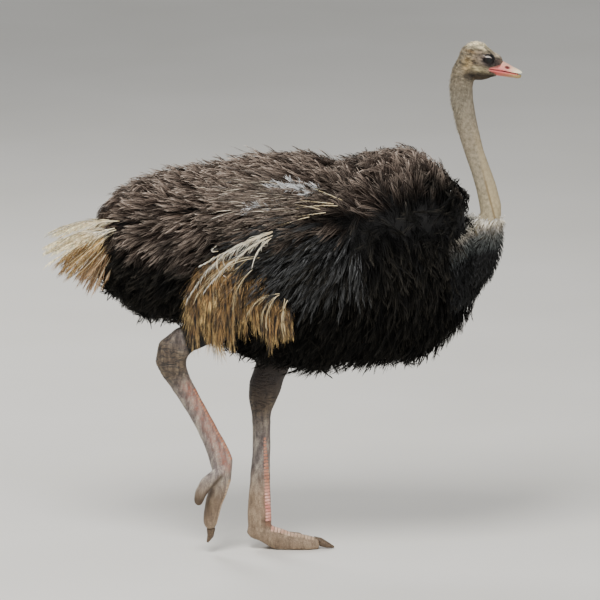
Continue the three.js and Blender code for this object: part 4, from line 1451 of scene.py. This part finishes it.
def region(rear=-FAR, front=FAR, bottom=-FAR, top=FAR):
    """A rule for what lies between two stations and two heights, without the collar."""
    return lambda p, n: ((p[:, 0] > rear) & (p[:, 0] <= front) & (p[:, 2] <= top) & (p[:, 2] > bottom)
                         & ~at_collar(p, n))


REGIONS = {
    "coat_rump": region(front=RUMP_END),
    "coat_back": region(RUMP_END, BACK_END, bottom=BELLY_TOP),
    "coat_belly": region(RUMP_END, BACK_END, COAT_LOW, BELLY_TOP),
    "coat_shoulders": region(BACK_END, bottom=BREAST_TOP, top=SHOULDER_TOP),
    "coat_breast": region(BACK_END, bottom=COAT_LOW, top=BREAST_TOP)}
for name, rule in REGIONS.items():
    piece = coat(name, 0.0167, rule, body_plumage, barbs=13, steps=4, width=0.0032, spread=0.85, fan=0.34,
                 barb_share=0.85, gather=0.3, droop=0.12, start=0.02)
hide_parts("wing_left", "wing_right")

# %% Ragged locks along the lower edge
def hem_lie(place, out):
    """Hanging down and a little back, in locks."""
    towards = unit(np.array([-0.35, 0, -1.0]) + 0.5 * swirls(place, 6, 7, 8))
    return towards, np.full(len(place), 0.130), np.full(len(place), 0.3)


def at_hem(place, out):
    """Skin that faces down, off the middle, between breast and rump."""
    x, y, z = place.T
    return (out[:, 2] < -0.35) & (z > COAT_LOW) & (x > -0.66) & (x < 0.55) & (np.abs(y) > 0.04)


coat("coat_hem", 0.036, at_hem, body_plumage, lie=hem_lie, proud=0.024, barbs=56, steps=4, width=0.0036,
     spread=0.45, fan=0.24, barb_share=0.7, gather=0.8, droop=0.15, start=0.02)

# %% [markdown]
# ## The foot of the neck
# Where the neck leaves the body the coat turns short and dense, and its colour runs from the cream of
# the collar through grey to the black of the breast. These feathers lie down and back, close to the
# skin, so this part looks smooth.

# %% Collar
collar_plumage, tree, surface = new_material("collar down, cream to black", Roughness=0.6,
                                             Specular_IOR_Level=0.25)
tone, bright = plumage_tones(tree)
place, forward, sideways, height = whereabouts(tree)
behind = add(tree, "Math", {0: 0.69, 1: forward}, operation="SUBTRACT")
behind = add(tree, "Math", {0: behind, 1: 0.0}, operation="MAXIMUM")
raised = add(tree, "Math", {0: behind, 1: 0.72}, operation="MULTIPLY")
level = add(tree, "Math", {0: height, 1: raised}, operation="ADD")
level = add(tree, "Math", {0: level, 1: drifting(tree, place, 50, 0.02)}, operation="ADD")
aside = add(tree, "Math", {0: sideways}, operation="ABSOLUTE")
lowered = add(tree, "Math", {0: aside, 1: 0.21}, operation="MULTIPLY")
level = add(tree, "Math", {0: level, 1: lowered}, operation="SUBTRACT")
down_it = add(tree, "MapRange", {"Value": level, "From Min": 1.112, "From Max": 1.250})
shade = add(tree, "ValToRGB", {"Fac": down_it}, stops=[
    (0.0, "#161615"), (0.14, "#2E302F"), (0.31, "#4E514E"), (0.49, "#6C6C67"), (0.65, "#858078"),
    (0.79, "#A1998B"), (0.88, "#CAC1AE"), (0.95, "#F1E9D8"), (1.0, "#FBF6EA")])
root = add(tree, "MapRange", {"Value": tone, "From Max": 0.7, "To Min": 0.35, "To Max": 1.0})
rooted = add(tree, "Mix", {"Factor": 1.0, "A": shade, "B": root}, blend_type="MULTIPLY")
to_side = add(tree, "MapRange", {"Value": forward, "From Min": 0.580, "From Max": 0.690, "To Min": 0.30,
                                 "To Max": 1.0})
bright = add(tree, "Math", {0: bright, 1: to_side}, operation="MULTIPLY")
wire(surface, Base_Color=add(tree, "HueSaturation", {"Color": rooted, "Value": bright}))


def collar_lie(place, out):
    """The coat's own lie, kept short where shoulder and neck meet."""
    towards, length, spike = lie_of(place, out)
    near = bell(away(place, (0.662, 0, 1.255), (1, 0, 1)), 0.040)
    return towards, length * (1 - 0.65 * near), spike


coat("coat_collar", 0.0072, at_collar, collar_plumage, lie=collar_lie, longer=0.50, barbs=8,
     width=0.0022, steps=2, spread=0.7, fan=0.4, droop=0.1, gather=0.2, parted=False)

# %% [markdown]
# ## The ruff
# Right at the bare neck stands a narrow ring of short cream down, the lightest part of the plumage.
# It is the same kind of down as the collar, standing off instead of lying close.

# %% Ruff
RUFF_TOP, RUFF_X, RUFF_BEND, RUFF_HALF = 1.275, 0.735, 6.0, 0.013


def at_ruff(place, out):
    """A narrow band round the foot of the neck, highest at its side."""
    line = RUFF_TOP - RUFF_BEND * (place[:, 0] - RUFF_X) ** 2
    return (np.abs(place[:, 2] - line) < RUFF_HALF) & (place[:, 0] > 0.655)


def ruff_lie(place, out):
    """Down and out, standing off the skin."""
    towards = unit(np.array([-0.25, 0, -1.0]) + out * 0.9 + 0.35 * swirls(place, 3, 4, 5))
    return towards, 0.034 * np.interp(place[:, 0], [0.66, 0.71], [0.4, 1.0]), np.full(len(place), 0.6)


coat("coat_ruff", 0.0048, at_ruff, collar_plumage, lie=ruff_lie, proud=0.008, barbs=8, steps=2, width=0.0020,
     spread=0.6, fan=0.5, droop=0.1, gather=0.0, parted=False)

# %% [markdown]
# ## The wing
# Over the folded wing lie the coverts: long, silky and black, rooted along the arm and combed away
# from the shoulder joint like the rays of a fan. Above them, still longer and thinner plumes with
# little web on them stream back from the shoulder, faded to taupe and cream.

# %% Coverts
SHOULDER = np.array([0.25, 0.0, 1.32])
STREAM_FROM = np.array([0.36, 0.0, 1.37])


def fan_lie(centre, length, spike, sag):
    """A lie that runs away from a centre like the rays of a fan, sagging a little."""
    def lie(place, out):
        ray = place - centre
        ray[:, 1] = 0
        towards = unit(ray) + [0, 0, -sag] + UNREST * 0.4 * swirls(place, 9, 8, 8) * [1, 0, 1]
        return unit(towards), np.full(len(place), length), np.full(len(place), spike)
    return lie


def on_wing(centre, size, beyond=0.12):
    """A rule for an egg-shaped area of both flanks, beyond this distance from the middle."""
    return lambda p, n: ((((p[:, ::2] - centre) / size) ** 2).sum(1) < 1) & (np.abs(p[:, 1]) > beyond)


# Painted sheen: the grey towards the tips stands for the coverts' gloss, beside the shader's own gloss.
covert_plumage = plumage("silky wing coverts, black with painted grey sheen",
                         [(0.0, "#030303"), (0.45, "#131312"), (1.0, "#3E3E3D")], Roughness=0.45,
                         Specular_IOR_Level=0.35)
coat("wing_coverts", 0.0165, on_wing((0.05, 1.175), (0.21, 0.115)), covert_plumage,
     lie=fan_lie(SHOULDER, 0.150, 0.20, 0.05), proud=0.014, spread=0.75, barbs=16, width=0.0032,
     messy=0.12, fan=0.38, barb_share=0.8, gather=0.25, droop=0.10)

faded_plumage, tree, surface = new_material("long shoulder plumes, faded to cream", Roughness=0.45)
tone, bright = plumage_tones(tree)
strand = add(tree, "Attribute", attribute_name="strand", output="Fac")
pale = add(tree, "MapRange", {"Value": strand, "From Min": 0.86, "From Max": 0.95})
taupe = add(tree, "ValToRGB", {"Fac": tone}, stops=[(0.0, "#1E1814"), (0.5, "#574A3F"), (1.0, "#8D7F70")])
cream = add(tree, "ValToRGB", {"Fac": tone}, stops=[(0.0, "#85786A"), (0.5, "#B9AC97"), (1.0, "#CFC5B2")])
mixed = add(tree, "Mix", {"Factor": pale, "A": taupe, "B": cream})
wire(surface, Base_Color=add(tree, "HueSaturation", {"Color": mixed, "Value": bright}))
coat("shoulder_plumes", 0.0120, on_wing((0.11, 1.365), (0.14, 0.055)), faded_plumage,
     lie=fan_lie(STREAM_FROM, 0.30, 0.25, 0.06), proud=0.006, spread=0.30, barbs=14, steps=4, width=0.0024,
     messy=0.10, fan=0.22, gather=0.2, droop=0.05)

# %% [markdown]
# ## White fluff and bare quills at the shoulder
# Where the long plumes part, the white bases of the wing's feathers show through in two patches, and
# a few bare quills stick out. The fluff is one more tract of the coat, short and bluish white.

# %% White fluff
white_fluff = plumage("white fluff of the wing, bluish in the shade",
                      [(0.0, "#6E6E6E"), (0.4, "#BDBDBC"), (1.0, "#F6F6F4")], 0.6, 1.5, Roughness=0.6)
FLUFF = {  # centre, size
    "white_fluff_front": ((0.035, 1.372), (0.095, 0.012)),
    "white_fluff_back": ((-0.085, 1.315), (0.075, 0.011))}
for name, (centre, size) in FLUFF.items():
    coat(name, 0.0115, on_wing(centre, size, 0.03), white_fluff, "plumage_tan",
         lie=fan_lie(STREAM_FROM, 0.080, 0.45, 0.0), proud=0.021, spread=0.6, barbs=14, width=0.0026,
         messy=0.25, fan=0.6, droop=0.05)

# %% [markdown]
# ## The great plumes
# Wing and tail carry the plumes that hats were once made of. Each has a pale, bending shaft and long
# soft barbs. On this bird those of the wing are bleached to tan and hang over the thigh like a
# curtain, a few white ones curl over them, and the tail is a short cream fan. The same formula makes
# them with more and longer barbs, and a thin tapering tube is laid along each shaft.

# %% Shafts
def quills(name, root, first, last, length, thick, steps=12, sides=5):
    """One mesh of tapering tubes along bent shafts."""
    count = len(root)
    t = np.linspace(0, 1, steps + 1)[None, :, None]
    length = np.broadcast_to(length, count)[:, None, None]
    centre = root[:, None] + length * (first[:, None] * t + (last - first)[:, None] * t**2 / 2)
    heading = unit(first[:, None] + (last - first)[:, None] * t)
    aside = unit(np.cross(heading, np.array([0.13, 0.21, 0.97])))
    above = np.cross(heading, aside)
    turn = (2 * np.pi * np.arange(sides) / sides)[None, None, :, None]
    radius = (np.broadcast_to(thick, count)[:, None, None] / 2 * (1 - 0.93 * t))[..., None]
    ring = centre[:, :, None] + radius * (aside[:, :, None] * np.cos(turn) + above[:, :, None] * np.sin(turn))
    shape = bmesh.new()
    for tube in ring:
        loops = []
        for circle in tube:
            verts = bmesh.ops.create_circle(shape, segments=sides, radius=1.0)["verts"]
            for vert, place in zip(verts, circle):
                vert.co = place
            loops.append([shape.edges.get(pair) for pair in zip(verts, verts[1:] + verts[:1])])
        for one, other in zip(loops, loops[1:]):
            bmesh.ops.bridge_loops(shape, edges=one + other)
        bmesh.ops.contextual_create(shape, geom=loops[0])
        bmesh.ops.contextual_create(shape, geom=loops[-1])
    bmesh.ops.recalc_face_normals(shape, faces=shape.faces[:])
    print(name, count, "shafts")
    return to_object(name, shape)


# %% Colours of the great plumes
def plume_material(name, stops, low, high, streaks=1.0):
    """A material of long plumes, streaked along them by a pattern that is drawn out downwards.

    low and high bound the brightness of single barbs, and streaks is how bright the streaks are.
    """
    material, tree, surface = new_material(name, Roughness=0.55, Subsurface_Weight=0.05)
    tone, bright = plumage_tones(tree, low, high)
    place = add(tree, "TexCoord", output="Object")
    along = add(tree, "Math", {0: tone, 1: drifting(tree, place, 60, 0.22)}, operation="ADD", use_clamp=True)
    shade = add(tree, "ValToRGB", {"Fac": along}, stops=stops)
    drawn = add(tree, "Mapping", {"Vector": place, "Scale": (1, 0.3, 0.16)})
    drawn = add(tree, "TexNoise", {"Vector": drawn, "Scale": mm(8), "Detail": 2.0})
    stripe = add(tree, "MapRange", {"Value": drawn, "From Min": 0.36, "From Max": 0.64, "To Min": 2 - streaks,
                                   "To Max": streaks})
    bright = add(tree, "Math", {0: bright, 1: stripe}, operation="MULTIPLY")
    wire(surface, Base_Color=add(tree, "HueSaturation", {"Color": shade, "Value": bright}))
    return material


# The sun-bleached plumes are darkest at the root: their own brown, with painted shade in the gaps between the
# strands.
tan_plume = plume_material("sun-bleached wing plume", [
    (0.0, "#2A1D0E"), (0.25, "#775B35"), (0.6, "#4A351B"), (1.0, "#BA9C64")], 0.02, 2.1, streaks=1.95)
pale_plume = plume_material("palest strands of the wing plumes", [
    (0.0, "#8F7B56"), (0.5, "#BFA97C"), (1.0, "#D2C29C")], 0.5, 1.4)
white_plume = plume_material("white wing plume", [
    (0.0, "#BDB39C"), (0.4, "#E4DDC9"), (1.0, "#F4F0E4")], 0.6, 1.4)
# Painted shade: the middle plumes are stained, with painted brown shade among the straw, and the low plumes
# are dark partly as painted shade under the fan.
tail_finish = {
    "top": plume_material("white and straw tail plume", [
        (0.0, "#F1EDE4"), (0.35, "#CDB98C"), (0.6, "#EADFBC"), (1.0, "#DCC88C")], 0.4, 1.6, streaks=1.35),
    "middle": plume_material("stained tail plume with painted shade", [
        (0.0, "#E6DABC"), (0.3, "#B39159"), (0.7, "#7E603A"), (1.0, "#DAC58E")], 0.35, 1.7, streaks=1.4),
    "low": plume_material("dark tail plume", [
        (0.0, "#4E3A28"), (0.4, "#8A6A48"), (1.0, "#A58560")], 0.35, 1.7)}
quill_horn = mottled("quill horn, straw coloured", 25, [(0.3, "#C7AE82"), (0.7, "#E6DAB9")], Roughness=0.4)


def great_plumes(name, rows, material, hands=(1, -1), lean=0.0, *, thick, spread, **shape):
    """Plumes from rows of (root x, root z, start angle, end angle, length, out), once for each hand.

    A hand is 1 where out is to the left and -1 where it is to the right.
    """
    rows = np.array(rows)
    root, first, last, out, length = [], [], [], [], []
    for hand in hands:
        jitter = np.clip(rng.normal(0, 1, (len(rows), 4)), -1.5, 1.5)
        begin = np.radians(rows[:, 2] + 3 * jitter[:, 0])
        end = np.radians(rows[:, 3] + 5 * jitter[:, 1])
        root.append(np.stack([rows[:, 0], hand * rows[:, 5], rows[:, 1]], -1))
        swing = hand * (lean + 0.07 * jitter[:, 2])
        first.append(unit(np.stack([-np.cos(begin), swing, -np.sin(begin)], -1)))
        last.append(unit(np.stack([-np.cos(end), swing * 0.3 - hand * 0.06, -np.sin(end)], -1)))
        out.append(np.broadcast_to([0, hand, 0.0], (len(rows), 3)))
        length.append(rows[:, 4] * (1 + 0.06 * jitter[:, 3]))
    root, first, last, out, length = (np.concatenate(v) for v in (root, first, last, out, length))
    made = plume_mesh(name, root, first, out, length, spread, unwrap(root, 0, BODY_MIDDLE),
                      shafts=(first, last), **shape)
    dress(made, material, "plumage_tan")
    dress(quills(name + "_shafts", root, first, last, length * 0.97, thick), quill_horn, "plumage_tan")
    return made


# %% Wing plumes
WING_PLUMES = [  # root x, root z, start angle, end angle, length, out
    (-0.10, 1.155, 2, 72, 0.32, .262), (-0.12, 1.160, 4, 84, 0.37, .266), (-0.10, 1.150, 10, 90, 0.35, .27),
    (-0.08, 1.140, 16, 92, 0.31, .272), (-0.06, 1.130, 22, 94, 0.30, .274),
    (-0.05, 1.115, 30, 95, 0.28, .275), (-0.03, 1.100, 38, 96, 0.26, .272),
    (-0.15, 1.165, 2, 66, 0.35, .258), (-0.16, 1.155, 8, 96, 0.36, .265),
    (-0.13, 1.120, 24, 100, 0.36, .272), (-0.19, 1.150, 10, 90, 0.40, .265),
    (-0.21, 1.130, 20, 98, 0.40, .262), (-0.18, 1.090, 40, 106, 0.29, .27),
    (-0.24, 1.145, 24, 118, 0.40, .258), (-0.22, 1.070, 50, 104, 0.27, .268),
    (-0.20, 1.050, 62, 100, 0.24, .268), (-0.27, 1.110, 42, 98, 0.28, .258),
    (-0.26, 1.090, 52, 96, 0.27, .262), (-0.245, 1.070, 60, 92, 0.25, .264),
    (-0.11, 1.030, 150, 92, 0.17, .274), (-0.10, 1.020, 140, 92, 0.16, .276),
    (-0.09, 1.025, 140, 92, 0.16, .274), (-0.08, 1.010, 125, 90, 0.16, .272),
    (-0.06, 1.015, 130, 92, 0.14, .270), (-0.05, 1.005, 115, 90, 0.14, .276),
    (-0.03, 1.000, 105, 88, 0.13, .274), (-0.09, 1.005, 95, 88, 0.16, .276),
    (-0.06, 1.005, 95, 88, 0.15, .276), (-0.05, 1.020, 20, 76, 0.16, .278),
    (-0.06, 1.025, 12, 70, 0.17, .278)]
made = great_plumes("wing_plumes_tan", WING_PLUMES, tan_plume, lean=0.12, thick=0.0024, spread=0.46,
                    barbs=230, steps=6, width=0.0017, droop=0.54, fan=0.72, barb_share=0.35, messy=0.26,
                    gather=-0.25)
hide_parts("wing_plumes_left", "wing_plumes_right")
PALE_STRANDS = [
    (-0.12, 1.165, 0, 62, 0.31, .300), (-0.14, 1.170, 4, 80, 0.30, .302),
    (-0.18, 1.165, 10, 96, 0.28, .300), (-0.24, 1.150, 40, 108, 0.30, .285),
    (-0.25, 1.140, 50, 124, 0.27, .285), (-0.20, 1.130, 40, 104, 0.24, .300),
    (-0.15, 1.120, 40, 98, 0.22, .302), (-0.05, 1.030, 4, 62, 0.18, .302),
    (-0.05, 1.025, 24, 84, 0.15, .302), (-0.02, 1.005, 62, 96, 0.13, .300),
    (-0.03, 1.010, 80, 92, 0.12, .298), (-0.06, 1.020, 50, 90, 0.15, .302)]
great_plumes("wing_plumes_pale", PALE_STRANDS, pale_plume, lean=0.03, thick=0.0030, spread=0.35, barbs=14,
             steps=5, width=0.0019, droop=0.35, fan=0.45, barb_share=0.35, messy=0.20, gather=0.0)
WHITE_PLUMES = [
    (-0.075, 1.262, 15, 60, 0.50, .305), (-0.080, 1.258, 18, 54, 0.46, .305),
    (-0.075, 1.250, 22, 50, 0.35, .308), (-0.090, 1.255, 20, 38, 0.27, .31),
    (-0.075, 1.265, 12, 34, 0.24, .305), (-0.090, 1.245, 26, 60, 0.20, .31),
    (-0.080, 1.240, 32, 75, 0.15, .31)]
great_plumes("wing_plumes_white", WHITE_PLUMES, white_plume, thick=0.0030, spread=0.17, barbs=42, steps=5,
             width=0.0020, droop=0.45, fan=0.5, messy=0.22, barb_share=0.75)
WHITE_CURLS = [
    (-0.275, 1.190, 10, -140, 0.085, .305), (-0.270, 1.180, 60, 150, 0.11, .308),
    (-0.255, 1.185, 75, 140, 0.10, .308), (-0.290, 1.170, 50, 20, 0.07, .305)]
great_plumes("wing_curls_white", WHITE_CURLS, white_plume, thick=0.0026, spread=0.25, barbs=12, steps=4,
             width=0.0022, droop=0.1, fan=0.3, messy=0.12, gather=0.4)

# %% Bare quills at the shoulder
def on_flank(x, z):
    """How far out the construction solid is at this place of the side."""
    hits = [solid.ray_cast(Vector((x, 0.6, z)), Vector((0, -1, 0)))[0] for solid in coat_solids]
    return max(hit.y for hit in hits if hit is not None)


SHOULDER_QUILLS = [  # root x, root z, start angle, end angle, length
    (0.180, 1.362, -28, -22, 0.110), (0.150, 1.352, -12, 4, 0.115), (0.165, 1.345, -2, 8, 0.170),
    (0.120, 1.325, 4, 14, 0.130), (0.100, 1.335, -16, -4, 0.090), (0.060, 1.310, 10, 18, 0.120)]
quill_rows = [(*row, on_flank(*row[:2]) + 0.004) for row in SHOULDER_QUILLS]
great_plumes("shoulder_quills", quill_rows, pale_plume, lean=0.02, thick=0.0034, spread=0.12, barbs=30,
             steps=3, width=0.0016, droop=0.2, fan=0.35, messy=0.15)

# %% Tail fan
TAIL_SIDES = (-0.115, -0.080, -0.045, -0.010, 0.030, 0.070, 0.110)
TAIL_ROWS = {  # root x, root z, start angle, end angle, length, from the top of the fan down
    "top": [(-0.672, 1.240, 1, 25, 0.235), (-0.690, 1.213, 10, 26, 0.225), (-0.685, 1.207, 20, 26, 0.245)],
    "middle": [(-0.700, 1.203, 29, 40, 0.205), (-0.695, 1.196, 33, 43, 0.220), (-0.700, 1.190, 38, 46, 0.205),
               (-0.690, 1.180, 46, 44, 0.210)],
    "low": [(-0.680, 1.172, 50, 54, 0.180), (-0.690, 1.160, 56, 50, 0.160), (-0.690, 1.135, 62, 66, 0.170),
            (-0.700, 1.150, 54, 60, 0.170), (-0.680, 1.125, 70, 64, 0.150)]}
for part, rows in TAIL_ROWS.items():
    fan_rows = [(x + 0.5 * max(abs(y) - 0.05, 0), z - 0.21 * y, start, end, length, y)
                for x, z, start, end, length in rows for y in TAIL_SIDES]
    made = great_plumes(f"tail_plumes_{part}", fan_rows, tail_finish[part], hands=(1,), thick=0.0052,
                        spread=0.34, barbs=64, steps=4, width=0.0020, droop=0.30, fan=0.5, messy=0.14,
                        gather=-0.15)
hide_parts("tail")

# %% [markdown]
# ## Down of neck and head
# From the collar up the bird wears no plumage, only short hair-like down through which the skin
# shows. It points down the neck and backwards on the head, is finest on the face, and stands up as
# bristles on the crown. Each tuft is three short hairs. Skin and down carry the same markings.

# %% Down
down_hair, tree, surface = new_material("hair-like down", Roughness=0.6)
tone, bright = plumage_tones(tree)
marked = neck_and_head_colour(tree, "#C9BC9A", "#85795F")
root = add(tree, "MapRange", {"Value": tone, "From Max": 0.8, "To Min": 0.55, "To Max": 1.1})
rooted = add(tree, "Mix", {"Factor": 1.0, "A": marked, "B": root}, blend_type="MULTIPLY")
wire(surface, Base_Color=add(tree, "HueSaturation", {"Color": rooted, "Value": bright}))


def crown(place):
    """1 on top of the head, less with the way from there."""
    local = in_head(place)
    return bell(np.maximum(0.062 - local[:, 2], 0), 0.018) * bell(local[:, 0] + 0.01, 0.05)


def down(name, gap, rule, towards, length, rise, on_crown, axis, width):
    """Tufts of down all over an area.

    towards is the way they lie, and rise the angle at which they leave the skin. on_crown says how much
    longer and steeper they are on the crown. axis is the one round which the area is unwrapped.
    """
    place, out = strew(gap, rule)
    top = crown(place)
    size = (length + on_crown[0] * top) * rng.uniform(0.7, 1.25, len(place))
    lift = rise + on_crown[1] * top
    made = plume_mesh(name, place, towards, out, size, 0.75, unwrap(place, axis, place.mean(0)), barbs=3,
                      steps=2, start=0.0, lift=lift, end_lift=lift * 0.6, messy=0.30, barb_share=0.1,
                      droop=0.1, width=width)
    dress(made, down_hair, "neck_skin")


def on_neck(place, out):
    behind_face = in_head(place)[:, 0] < -0.02
    return (place[:, 2] > 1.245) & (place[:, 2] < 1.80) & (place[:, 0] > 0.56) & behind_face


def on_head(place, out):
    """The head without eyes, ears, gape and bill."""
    local = flat_side(place)
    eye = away(local, (0.028, 0.045, 0.013), (1, 0.3, 1.25)) > 0.0255
    behind_gape = local[:, 0] < GAPE_CORNER
    lips = 0.005 + 0.2 * np.clip(local[:, 0] - GAPE_CORNER, 0, 1)
    mouth = (np.abs(local[:, 2] - GAPE_LEVEL) > lips) | behind_gape
    ear = away(local, EAR) > 0.007
    return (place[:, 2] > 1.79) & eye & mouth & ear & (local[:, 0] < 0.072)


backward = np.array(head_turn @ Vector((-1, 0, -0.25)))
downward = np.array([0.05, 0, -1.0])
down("neck_down", 0.0034, on_neck, downward, 0.009, 0.42, on_crown=(0, 0), axis=2, width=0.0011)
down("head_down", 0.0027, on_head, backward, 0.0055, 0.35, on_crown=(0.003, 0.25), axis=0, width=0.0009)

# %% Lashes
LASHES = 22
root, first, last, size = [], [], [], []
wide, tall = EYE_OPENING
for side, hand in SIDES.items():
    for step in range(LASHES):
        angle = math.radians(20 + 140 * step / (LASHES - 1))
        local = Vector((wide * 0.98 * math.cos(angle), 0, tall * math.sin(angle) * 0.95 - EYE_DROP))
        bulge = math.sqrt(max(1e-9, (EYE_RADIUS + LID) ** 2 - local.x**2 - local.z**2))
        spot = eye_centre[side] + head_turn @ (local + Vector((0, hand * bulge, 0)))
        ray = head_turn @ Vector((math.cos(angle) * 0.5, hand * 0.9, 0.15))
        tip = head_turn @ Vector((math.cos(angle) * 0.9, hand * 0.9, -0.2))
        root.append(spot)
        first.append(ray.normalized())
        last.append(tip.normalized())
        size.append(rng.uniform(0.009, 0.014))
root, first, last, size = (np.array(values) for values in (root, first, last, size))
lash_hair = mottled("lash bristle", 8, [(0.3, "#0B0908"), (0.7, "#1E1916")], Roughness=0.5)
dress(quills("lashes", root, first, last, size, 0.0009, steps=5, sides=4), lash_hair, "eye")
